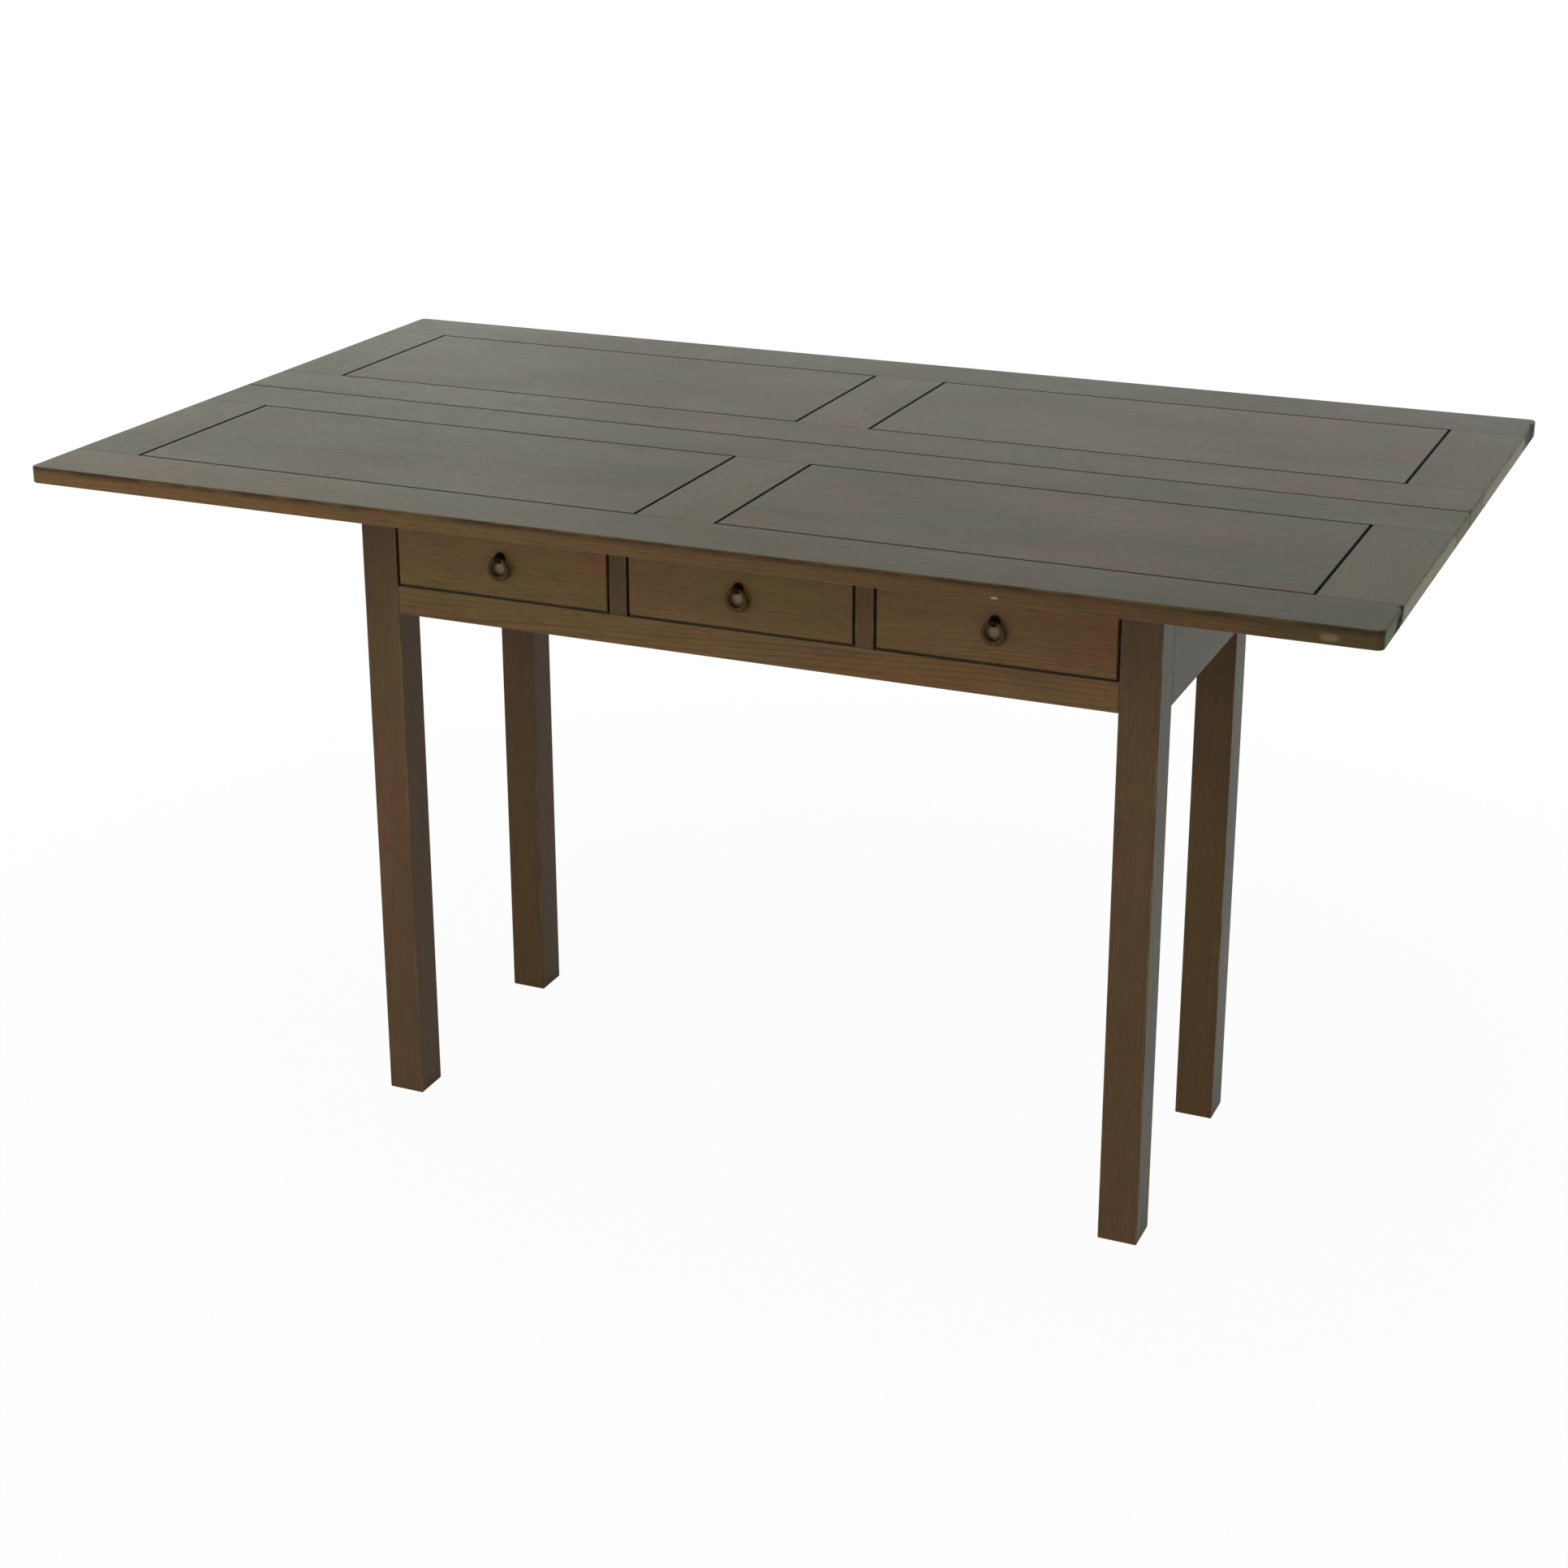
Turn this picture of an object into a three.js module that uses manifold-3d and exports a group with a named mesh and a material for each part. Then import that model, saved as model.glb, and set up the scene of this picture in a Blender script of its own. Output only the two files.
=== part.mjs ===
// Extendable console table, shown open: two framed leaves that fold face to face, on a base with drawers.
// Millimetres. x runs along the table, -y is the front and z is up, from the floor under the middle.
import * as THREE from "three";
import { mergeVertices } from "three/addons/utils/BufferGeometryUtils.js";
import Module from "manifold-3d";

const wasm = await Module();
wasm.setup();

// Overall size, with both leaves open
const tableHeight = 775;
const topLength = 1400;
const leafDepth = 400;
const topThickness = 18;
const baseWidth = 895;
const baseDepth = 340;

// Clearances
const jointGap = 0.3;
const slideGap = 0.5;
const seamGap = 1;
const cutOverrun = 5;
const mergeTolerance = 1e-3;

// Legs and the rails and aprons between them
const legWidth = 42;
const legArris = 1.5;
const apronHeight = 174;
const apronThickness = 20;
const frontRailThickness = 22;
const lowerRailHeight = 32;
const openingHeight = 94;
const dividerWidth = 20;
const tenonThickness = 8;
const tenonShoulder = 6;
const stubLength = 7;
const stubThickness = 6;

// Leaves: a grooved frame round two floating panels
const longRailWidth = 80;
const endStileWidth = 77;
const middleStileWidth = 83;
const grooveDepth = 14;
const tongueThickness = 6;
const stileTenonLength = 11;
const panelTongueLength = 9;
const panelThickness = 15;
const panelEndGap = 3;
const panelSideGap = 2;
const leafCornerRadius = 7;
const leafArris = 1.5;

// Concealed hinges in the seam
const hingeSpacing = 480;
const barrelRadius = 6;
const barrelLength = 22;
const barrelSlotWidth = 4;
const barrelSlotDepth = 15;
const barrelLip = 1;

// Carriage under the main leaf and the grooved guides that hold it down
const carriageWidth = 70;
const carriageTongue = 10;
const carriageTongueHeight = 12;
const guideWidth = 36;
const guideHeight = 38;
const guideDrop = 4;
const guideGrooveLift = 13;
const screwRadius = 2.5;
const screwHeadRadius = 5;
const screwHeadDepth = 14;
const screwInset = 16;

// Drawers
const frontGap = 2;
const frontSideGap = 2.5;
const frontThickness = 20;
const frontArris = 1;
const sideThickness = 11;
const sideHeight = 78;
const backThickness = 11;
const bottomThickness = 5;
const bottomLift = 8;
const bottomGroove = 5;
const frontTailLength = 14;
const tailNeck = 12;
const tailEnd = 17;
const tailCount = 3;

// Runners that carry and guide the drawers
const runnerThickness = 12;
const runnerWing = 14;
const runnerGap = 1;
const guideStripHeight = 30;

// Ring pulls
const ringRadius = 10.6;
const ringFootWire = 3.3;
const pullReach = 5.8;
const eyeRadius = 3.1;
const ballRadius = 4.9;
const rosetteRadius = 6;
const rosetteThickness = 2;
const rosetteRound = 1;
const spigotRadius = 2.5;
const spigotTail = 4;

// Facets of the round forms
const arrisSteps = 2;
const cornerSteps = 5;
const barrelFacets = 20;
const screwFacets = 12;
const latheFacets = 20;
const ballSteps = 6;
const ringFacets = 36;
const wireFacets = 12;

// Shares of the sizes that they follow
const tenonLengthShare = 0.5;
const placeShares = { left: -1, middle: 0, right: 1 };
const ringTopShare = 0.58;
const ringNarrowingShare = 0.12;

// Levels and faces that more than one piece works from
const underside = tableHeight - topThickness;
const frameTop = underside - jointGap;
const apronBottom = frameTop - apronHeight;
const openingBottom = apronBottom + lowerRailHeight;
const openingTop = openingBottom + openingHeight;
const halfWidth = baseWidth / 2;
const halfDepth = baseDepth / 2;
const tenonLength = legWidth * tenonLengthShare;
const legInnerX = halfWidth - legWidth;
const legInnerY = halfDepth - legWidth;
const railBack = -halfDepth + frontRailThickness;
const rearApronFront = halfDepth - apronThickness;
const sideApronInner = halfWidth - apronThickness;
const openingWidth = (2 * legInnerX - 2 * dividerWidth) / 3;
const drawerPitch = openingWidth + dividerWidth;
const slideTravel = leafDepth / 2;

// Finishes
const finishes = {
  top: { color: 0x6a6456, roughness: 0.42, metalness: 0 },
  panel: { color: 0x655e50, roughness: 0.4, metalness: 0 },
  frame: { color: 0x54402d, roughness: 0.5, metalness: 0 },
  front: { color: 0x5d4a30, roughness: 0.48, metalness: 0 },
  inner: { color: 0x8d7650, roughness: 0.75, metalness: 0 },
  bronze: { color: 0x2c231a, roughness: 0.45, metalness: 0.9 },
  steel: { color: 0x8a8378, roughness: 0.4, metalness: 0.95 },
};

// A closed geometry as a solid that can be joined and cut
function solid(geometry) {
  const bare = geometry.clone();
  bare.deleteAttribute("normal");
  bare.deleteAttribute("uv");
  const merged = mergeVertices(bare, mergeTolerance);
  const triVerts = new Uint32Array(merged.index.array);
  return new wasm.Manifold(
    new wasm.Mesh({ numProp: 3, vertProperties: merged.attributes.position.array, triVerts }),
  );
}

// A solid as a flat-shaded geometry
function geometryOf(shape) {
  const mesh = shape.getMesh();
  const geometry = new THREE.BufferGeometry();
  geometry.setAttribute("position", new THREE.BufferAttribute(mesh.vertProperties, mesh.numProp));
  geometry.setIndex(new THREE.BufferAttribute(mesh.triVerts, 1));
  const facets = geometry.toNonIndexed();
  facets.computeVertexNormals();
  return facets;
}

function meshOf(name, shape, finish) {
  const mesh = new THREE.Mesh(geometryOf(shape), new THREE.MeshStandardMaterial(finishes[finish]));
  mesh.name = name;
  return mesh;
}

const joined = (first, ...others) => others.reduce((all, one) => all.add(one), first);
const cut = (first, ...others) => others.reduce((all, one) => all.subtract(one), first);

// Spans are [low, high] pairs, in either order
const about = (middle, size) => [middle - size / 2, middle + size / 2];
const ordered = ([a, b]) => [Math.min(a, b), Math.max(a, b)];
const widened = ([a, b], by) => [Math.min(a, b) - by, Math.max(a, b) + by];
const times = ([a, b], sign) => [a * sign, b * sign];
const points = (pairs) => pairs.map(([u, v]) => new THREE.Vector2(u, v));

// A rectangular block between three spans
function block([x0, x1], [y0, y1], [z0, z1]) {
  const box = new THREE.BoxGeometry(Math.abs(x1 - x0), Math.abs(y1 - y0), Math.abs(z1 - z0));
  return solid(box.translate((x0 + x1) / 2, (y0 + y1) / 2, (z0 + z1) / 2));
}

// An outline pushed along an axis: (y, z) points along x, (x, z) points along y or (x, y) points along z
function prism(outline, axis, span) {
  const shape = outline instanceof THREE.Shape ? outline : new THREE.Shape(points(outline));
  const [low, high] = ordered(span);
  const geometry = new THREE.ExtrudeGeometry(shape, {
    depth: high - low,
    bevelEnabled: false,
    curveSegments: cornerSteps,
  });
  const unit = {
    x: new THREE.Vector3(1, 0, 0),
    y: new THREE.Vector3(0, 1, 0),
    z: new THREE.Vector3(0, 0, 1),
  };
  const turn = new THREE.Matrix4();
  if (axis === "x") turn.makeBasis(unit.y, unit.z, unit.x).setPosition(low, 0, 0);
  if (axis === "y") turn.makeBasis(unit.x, unit.z, unit.y.negate()).setPosition(0, high, 0);
  if (axis === "z") turn.setPosition(0, 0, low);
  return solid(geometry.applyMatrix4(turn));
}

// A rod along x, y or z
function rod(axis, radius, span, [u, v], facets) {
  const [low, high] = ordered(span);
  const geometry = new THREE.CylinderGeometry(radius, radius, high - low, facets);
  const middle = (low + high) / 2;
  if (axis === "x") geometry.rotateZ(Math.PI / 2).translate(middle, u, v);
  if (axis === "y") geometry.translate(u, middle, v);
  if (axis === "z") geometry.rotateX(Math.PI / 2).translate(u, v, middle);
  return solid(geometry);
}

// A rectangle whose edges are softened all round, pushed up from z = 0
function softenedSlab(shape, height, arris) {
  const geometry = new THREE.ExtrudeGeometry(shape, {
    depth: height - 2 * arris,
    bevelThickness: arris,
    bevelSize: arris,
    bevelOffset: -arris,
    bevelSegments: arrisSteps,
    curveSegments: cornerSteps,
  });
  return solid(geometry.translate(0, 0, arris));
}

// The base: legs, aprons, front rails and dividers

// Tenons of the pieces that meet the legs, each as [x, y, z] spans on the side of the given signs
const railMiddleY = (-halfDepth + railBack) / 2;
const rearApronMiddleY = (halfDepth + rearApronFront) / 2;
const sideApronMiddleX = (halfWidth + sideApronInner) / 2;
const lowerRailSpan = [apronBottom, openingBottom];
const upperRailSpan = [openingTop, frameTop];
const apronSpan = [apronBottom, frameTop];

const crossTenon = (sideX, middleY, heightSpan) => [
  times([legInnerX - tenonLength, legInnerX + tenonLength], sideX),
  about(middleY, tenonThickness),
  widened(heightSpan, -tenonShoulder),
];
const sideTenon = (sideX, sideY) => [
  about(sideX * sideApronMiddleX, tenonThickness),
  times([legInnerY - tenonLength, legInnerY + tenonLength], sideY),
  widened(apronSpan, -tenonShoulder),
];

const dividerX = (side) => (side * drawerPitch) / 2;
const dividerStub = (side, level) => [
  about(dividerX(side), dividerWidth - 2 * tenonShoulder),
  about(railMiddleY, tenonThickness),
  about(level, 2 * stubLength),
];
const runnerStub = (side, faceY) => [
  about(dividerX(side), dividerWidth),
  about(faceY, 2 * stubLength),
  about(openingBottom - runnerThickness / 2, stubThickness),
];
const guideInnerX = carriageWidth / 2 + slideGap;
const guideMiddleX = guideInnerX + guideWidth / 2;
const guideTop = frameTop - guideDrop;
const guideBottom = guideTop - guideHeight;
const guideStubSpan = [guideInnerX + carriageTongue + 2 * slideGap, guideInnerX + guideWidth];
const guideStub = (side, faceY) => [
  times(widened(guideStubSpan, -tenonShoulder), side),
  about(faceY, 2 * stubLength),
  widened([guideBottom, guideTop], -tenonShoulder),
];

const asTenon = (spans) => block(...spans);
const asMortise = (spans) => block(...spans.map((span) => widened(span, jointGap)));

function leg(sideX, sideY) {
  const outline = new THREE.Shape(
    points([
      [-legWidth / 2, -legWidth / 2],
      [legWidth / 2, -legWidth / 2],
      [legWidth / 2, legWidth / 2],
      [-legWidth / 2, legWidth / 2],
    ]),
  );
  const post = softenedSlab(outline, frameTop, legArris).translate([
    sideX * (halfWidth - legWidth / 2),
    sideY * (halfDepth - legWidth / 2),
    0,
  ]);
  const mortises = [asMortise(sideTenon(sideX, sideY))];
  if (sideY < 0) {
    mortises.push(asMortise(crossTenon(sideX, railMiddleY, lowerRailSpan)));
    mortises.push(asMortise(crossTenon(sideX, railMiddleY, upperRailSpan)));
  } else {
    mortises.push(asMortise(crossTenon(sideX, rearApronMiddleY, apronSpan)));
  }
  return cut(post, ...mortises);
}

const crossShoulders = widened([-legInnerX, legInnerX], -jointGap);

function frontRail(heightSpan) {
  const board = block(crossShoulders, [-halfDepth, railBack], heightSpan);
  const tenons = [-1, 1].map((side) => asTenon(crossTenon(side, railMiddleY, heightSpan)));
  return joined(board, ...tenons);
}

function lowerFrontRail() {
  const mortises = [-1, 1].flatMap((side) => [
    asMortise(dividerStub(side, openingBottom)),
    asMortise(runnerStub(side, railBack)),
  ]);
  return cut(frontRail(lowerRailSpan), ...mortises);
}

function upperFrontRail() {
  const mortises = [-1, 1].flatMap((side) => [
    asMortise(dividerStub(side, openingTop)),
    asMortise(guideStub(side, railBack)),
  ]);
  return cut(frontRail(upperRailSpan), ...mortises);
}

function rearApron() {
  const board = block(crossShoulders, [rearApronFront, halfDepth], apronSpan);
  const tenons = [-1, 1].map((side) => asTenon(crossTenon(side, rearApronMiddleY, apronSpan)));
  const mortises = [-1, 1].flatMap((side) => [
    asMortise(runnerStub(side, rearApronFront)),
    asMortise(guideStub(side, rearApronFront)),
  ]);
  return cut(joined(board, ...tenons), ...mortises);
}

function sideApron(side) {
  const shoulders = widened([-legInnerY, legInnerY], -jointGap);
  const board = block(times([sideApronInner, halfWidth], side), shoulders, apronSpan);
  return joined(board, asTenon(sideTenon(side, -1)), asTenon(sideTenon(side, 1)));
}

function divider(side) {
  const post = block(
    about(dividerX(side), dividerWidth),
    [-halfDepth, railBack],
    widened([openingBottom, openingTop], -jointGap),
  );
  return joined(post, asTenon(dividerStub(side, openingBottom)), asTenon(dividerStub(side, openingTop)));
}

// Runners lie level with the top of the lower rail, with a strip that keeps the drawers straight
const runnerEnds = widened([railBack, rearApronFront], -jointGap);
const runnerLevels = [openingBottom - runnerThickness, openingBottom];
const stripTop = openingBottom + guideStripHeight;
const stripOverhang = frontSideGap - runnerGap;

function innerRunner(side) {
  const strip = dividerWidth / 2 + stripOverhang;
  const wing = strip + runnerWing;
  const outline = [
    [-wing, runnerLevels[0]],
    [wing, runnerLevels[0]],
    [wing, openingBottom],
    [strip, openingBottom],
    [strip, stripTop],
    [-strip, stripTop],
    [-strip, openingBottom],
    [-wing, openingBottom],
  ];
  const board = prism(outline, "y", runnerEnds).translate([dividerX(side), 0, 0]);
  return joined(
    board,
    asTenon(runnerStub(side, railBack)),
    asTenon(runnerStub(side, rearApronFront)),
  );
}

// The outer runner is screwed to the side apron and notched round both legs
function outerRunner(side) {
  const stripInner = legInnerX - stripOverhang;
  const wingInner = stripInner - runnerWing;
  const outer = sideApronInner - jointGap;
  const notch = legInnerX - jointGap;
  const between = legInnerY - jointGap;
  const outline = [
    [wingInner, runnerEnds[0]],
    [notch, runnerEnds[0]],
    [notch, -between],
    [outer, -between],
    [outer, between],
    [notch, between],
    [notch, runnerEnds[1]],
    [wingInner, runnerEnds[1]],
  ];
  const plan = outline.map(([x, y]) => [x * side, y]);
  const board = prism(plan, "z", runnerLevels);
  const strip = block(times([stripInner, outer], side), [-between, between], [runnerLevels[0], stripTop]);
  return joined(board, strip);
}

// The slide: a grooved guide each side of a carriage whose tongues hold the top down
const grooveSpan = [guideBottom + guideGrooveLift, guideBottom + guideGrooveLift + carriageTongueHeight];

function slideGuide(side) {
  const board = block(
    times([guideInnerX, guideInnerX + guideWidth], side),
    runnerEnds,
    [guideBottom, guideTop],
  );
  const groove = block(
    times([guideInnerX - cutOverrun, guideInnerX + carriageTongue], side),
    widened(runnerEnds, cutOverrun),
    widened(grooveSpan, slideGap),
  );
  const ends = [railBack, rearApronFront].map((faceY) => asTenon(guideStub(side, faceY)));
  return joined(cut(board, groove), ...ends);
}

function carriage() {
  const half = carriageWidth / 2;
  const reach = half + carriageTongue;
  const [low, high] = grooveSpan;
  const outline = [
    [-reach, low],
    [reach, low],
    [reach, high],
    [half, high],
    [half, frameTop],
    [-half, frameTop],
    [-half, high],
    [-reach, high],
  ];
  const front = railBack + slideGap;
  const back = rearApronFront - slideGap - slideTravel;
  const body = prism(outline, "y", [front, back]);
  const screws = [-1, 1].flatMap((side) =>
    [front + screwInset, back - screwInset].flatMap((y) => {
      const place = [side * (half - screwInset), y];
      return [
        rod("z", screwRadius, widened([low, frameTop], cutOverrun), place, screwFacets),
        rod("z", screwHeadRadius, [low - cutOverrun, low + screwHeadDepth], place, screwFacets),
      ];
    }),
  );
  return cut(body, ...screws);
}

// One leaf, drawn with its seam at y = 0 and its free edge at y = leafDepth
const leafMiddle = (underside + tableHeight) / 2;
const leafLevels = [underside, tableHeight];
const tongueSpan = about(leafMiddle, tongueThickness);
const grooveWidthSpan = widened(tongueSpan, jointGap);
const stileInnerX = topLength / 2 - endStileWidth;
const farRailInner = leafDepth - longRailWidth;

function leafEnvelope() {
  const half = topLength / 2;
  const round = leafCornerRadius;
  const outline = new THREE.Shape();
  outline.moveTo(-half, -cutOverrun);
  outline.lineTo(half, -cutOverrun);
  outline.lineTo(half, leafDepth - round);
  outline.absarc(half - round, leafDepth - round, round, 0, Math.PI / 2, false);
  outline.absarc(round - half, leafDepth - round, round, Math.PI / 2, Math.PI, false);
  return softenedSlab(outline, topThickness, leafArris).translate([0, 0, underside]);
}

function seamRail() {
  const full = widened([-topLength / 2, topLength / 2], cutOverrun);
  const board = block(full, [seamGap / 2, longRailWidth], leafLevels);
  const groove = block(full, [longRailWidth - grooveDepth, longRailWidth + cutOverrun], grooveWidthSpan);
  const bores = Object.values(placeShares).map((share) =>
    rod(
      "y",
      barrelRadius + jointGap,
      [-cutOverrun, seamGap / 2 + barrelLip + barrelLength + jointGap],
      [share * hingeSpacing, leafMiddle],
      barrelFacets,
    ),
  );
  return cut(board.intersect(leafEnvelope()), groove, ...bores);
}

function outerRail() {
  const full = widened([-topLength / 2, topLength / 2], cutOverrun);
  const board = block(full, [farRailInner, leafDepth + cutOverrun], leafLevels);
  const groove = block(full, [farRailInner - cutOverrun, farRailInner + grooveDepth], grooveWidthSpan);
  return cut(board.intersect(leafEnvelope()), groove);
}

// A stile between the two long rails, its tongues in their grooves and a groove for each panel beside it
function stile(width, panelEdges) {
  const shoulders = widened([longRailWidth, farRailInner], -jointGap);
  const board = block(width, shoulders, leafLevels);
  const tongue = block(width, widened([longRailWidth, farRailInner], stileTenonLength), tongueSpan);
  const grooves = panelEdges.map(([edge, inward]) =>
    block(
      [edge - inward * cutOverrun, edge + inward * grooveDepth],
      widened([longRailWidth, farRailInner], longRailWidth),
      grooveWidthSpan,
    ),
  );
  return cut(joined(board, tongue).intersect(leafEnvelope()), ...grooves);
}

const endStile = (side) =>
  stile(times([stileInnerX, topLength / 2 + cutOverrun], side), [[side * stileInnerX, side]]);

const middleStile = () =>
  stile(about(0, middleStileWidth), [
    [-middleStileWidth / 2, 1],
    [middleStileWidth / 2, -1],
  ]);

function panel(side) {
  const openingX = times([middleStileWidth / 2, stileInnerX], side);
  const openingY = [longRailWidth, farRailInner];
  const field = block(
    widened(openingX, -panelEndGap),
    widened(openingY, -panelSideGap),
    [tableHeight - panelThickness, tableHeight],
  );
  const tongue = block(
    widened(openingX, panelTongueLength),
    widened(openingY, panelTongueLength),
    tongueSpan,
  );
  return joined(field, tongue);
}

function hingeBarrel(share) {
  const mouth = seamGap / 2 + barrelLip;
  const place = [share * hingeSpacing, leafMiddle];
  const barrel = rod("y", barrelRadius, [mouth, mouth + barrelLength], place, barrelFacets);
  const slot = block(
    about(share * hingeSpacing, barrelSlotWidth),
    [mouth - cutOverrun, mouth + barrelSlotDepth],
    about(leafMiddle, topThickness),
  );
  return cut(barrel, slot);
}

// A drawer, drawn at the middle of the table
const drawerHalfWidth = openingWidth / 2 - frontSideGap;
const frontSpan = [openingBottom + frontGap, openingTop - frontGap];
const frontFace = -halfDepth;
const frontBack = frontFace + frontThickness;
const drawerEnd = rearApronFront - slideGap;
const backFront = drawerEnd - backThickness;
const sideBottom = openingBottom + jointGap;
const sideTop = sideBottom + sideHeight;
const bottomLevel = sideBottom + bottomLift;
const sideInner = drawerHalfWidth - sideThickness;
const pullHeight = (frontSpan[0] + frontSpan[1]) / 2;
const pivotY = frontFace - pullReach;

// Dovetail tails as (y, z) outlines, from a shoulder to their wide ends
function tails(shoulder, end, by) {
  const outward = Math.sign(end - shoulder);
  const pitch = sideHeight / tailCount;
  return Array.from({ length: tailCount }, (_, i) => {
    const middle = sideBottom + pitch * (i + 1 / 2);
    return [
      [shoulder - outward * cutOverrun, middle - tailNeck / 2 - by],
      [shoulder, middle - tailNeck / 2 - by],
      [end + outward * by, middle - tailEnd / 2 - by],
      [end + outward * by, middle + tailEnd / 2 + by],
      [shoulder, middle + tailNeck / 2 + by],
      [shoulder - outward * cutOverrun, middle + tailNeck / 2 + by],
    ];
  });
}

const sideSpan = (side) => times([sideInner, drawerHalfWidth], side);
const frontTailEnd = frontBack - frontTailLength;

function drawerSide(side) {
  const board = block(
    sideSpan(side),
    widened([frontBack, backFront], -jointGap),
    [sideBottom, sideTop],
  );
  const ends = [
    ...tails(frontBack, frontTailEnd, 0),
    ...tails(backFront, drawerEnd, 0),
  ].map((outline) => prism(outline, "x", sideSpan(side)));
  return cut(joined(board, ...ends), bottomGrooves());
}

// The space that the bottom panel's edges slide into, from behind
function bottomGrooves() {
  return block(
    widened(about(0, 2 * sideInner), bottomGroove + jointGap),
    [frontBack - bottomGroove - jointGap, drawerEnd + cutOverrun],
    widened([bottomLevel, bottomLevel + bottomThickness], jointGap),
  );
}

function drawerFront() {
  const outline = new THREE.Shape(
    points([
      [-drawerHalfWidth, frontSpan[0]],
      [drawerHalfWidth, frontSpan[0]],
      [drawerHalfWidth, frontSpan[1]],
      [-drawerHalfWidth, frontSpan[1]],
    ]),
  );
  const softened = new THREE.ExtrudeGeometry(outline, {
    depth: frontThickness - 2 * frontArris,
    bevelThickness: frontArris,
    bevelSize: frontArris,
    bevelOffset: -frontArris,
    bevelSegments: 1,
  });
  softened.rotateX(Math.PI / 2).translate(0, frontBack - frontArris, 0);
  const sockets = [-1, 1].flatMap((side) =>
    tails(frontBack, frontTailEnd, jointGap).map((tail) =>
      prism(tail, "x", widened(sideSpan(side), jointGap)),
    ),
  );
  const spigotHole = rod(
    "y",
    spigotRadius + jointGap,
    widened([frontFace, frontBack], cutOverrun),
    [0, pullHeight],
    latheFacets,
  );
  return cut(solid(softened), bottomGrooves(), spigotHole, ...sockets);
}

function drawerBack() {
  const board = block(
    [-drawerHalfWidth, drawerHalfWidth],
    [backFront, drawerEnd],
    [bottomLevel + bottomThickness + jointGap, sideTop],
  );
  const sockets = [-1, 1].flatMap((side) =>
    tails(backFront, drawerEnd, jointGap).map((tail) =>
      prism(tail, "x", times([sideInner - jointGap, drawerHalfWidth + cutOverrun], side)),
    ),
  );
  return cut(board, ...sockets);
}

function drawerBottom() {
  return block(
    widened([-sideInner, sideInner], bottomGroove),
    [frontBack - bottomGroove, drawerEnd],
    [bottomLevel, bottomLevel + bottomThickness],
  );
}

// The turned post of a pull: spigot, rosette and a ball with an eye through it
function pullPost() {
  const outline = new THREE.Path();
  const ballMeets = Math.sqrt(ballRadius ** 2 - (pullReach - rosetteThickness) ** 2);
  const ballStart = Math.atan2(rosetteThickness - pullReach, ballMeets);
  outline.moveTo(0, -frontThickness - spigotTail);
  outline.lineTo(spigotRadius, -frontThickness - spigotTail);
  outline.lineTo(spigotRadius, jointGap);
  outline.lineTo(rosetteRadius, jointGap);
  outline.lineTo(rosetteRadius, rosetteThickness - rosetteRound);
  outline.absarc(
    rosetteRadius - rosetteRound,
    rosetteThickness - rosetteRound,
    rosetteRound,
    0,
    Math.PI / 2,
    false,
  );
  outline.lineTo(ballMeets, rosetteThickness);
  const profile = outline.getPoints(arrisSteps);
  for (let i = 1; i <= ballSteps; i += 1) {
    const angle = ballStart + ((Math.PI / 2 - ballStart) * i) / ballSteps;
    const radius = i === ballSteps ? 0 : ballRadius * Math.cos(angle);
    profile.push(new THREE.Vector2(radius, pullReach + ballRadius * Math.sin(angle)));
  }
  const turned = new THREE.LatheGeometry(profile, latheFacets);
  turned.rotateX(Math.PI).translate(0, frontFace, pullHeight);
  const eye = rod(
    "x",
    eyeRadius,
    widened([-ballRadius, ballRadius], cutOverrun),
    [pivotY, pullHeight],
    latheFacets,
  );
  return cut(solid(turned), eye);
}

// A round wire, thin where it hangs in the eye and thick at its foot, drawn in towards the top
function pullRing() {
  const ring = new THREE.TorusGeometry(ringRadius, ringFootWire, wireFacets, ringFacets);
  const places = ring.attributes.position;
  const vertex = new THREE.Vector3();
  for (let i = 0; i < places.count; i += 1) {
    vertex.fromBufferAttribute(places, i);
    const around = Math.atan2(vertex.y, vertex.x);
    const height = (1 + Math.sin(around)) / 2;
    const wire = THREE.MathUtils.lerp(1, ringTopShare, height);
    const reach = ringRadius + (Math.hypot(vertex.x, vertex.y) - ringRadius) * wire;
    const waist = 1 - ringNarrowingShare * height ** 2;
    places.setXYZ(i, reach * Math.cos(around) * waist, reach * Math.sin(around), vertex.z * wire);
  }
  return solid(ring.rotateX(Math.PI / 2).translate(0, pivotY, pullHeight - ringRadius));
}

// The table, put together
const sideNames = { left: -1, right: 1 };

function baseGroup() {
  const group = new THREE.Group();
  for (const [side, signX] of Object.entries(sideNames)) {
    group.add(meshOf(`leg_front_${side}`, leg(signX, -1), "frame"));
    group.add(meshOf(`leg_rear_${side}`, leg(signX, 1), "frame"));
    group.add(meshOf(`side_apron_${side}`, sideApron(signX), "frame"));
    group.add(meshOf(`divider_${side}`, divider(signX), "frame"));
    group.add(meshOf(`runner_outer_${side}`, outerRunner(signX), "inner"));
    group.add(meshOf(`runner_inner_${side}`, innerRunner(signX), "inner"));
    group.add(meshOf(`slide_guide_${side}`, slideGuide(signX), "inner"));
  }
  group.add(meshOf("front_lower_rail", lowerFrontRail(), "frame"));
  group.add(meshOf("front_upper_rail", upperFrontRail(), "frame"));
  group.add(meshOf("rear_apron", rearApron(), "frame"));
  return group;
}

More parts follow.
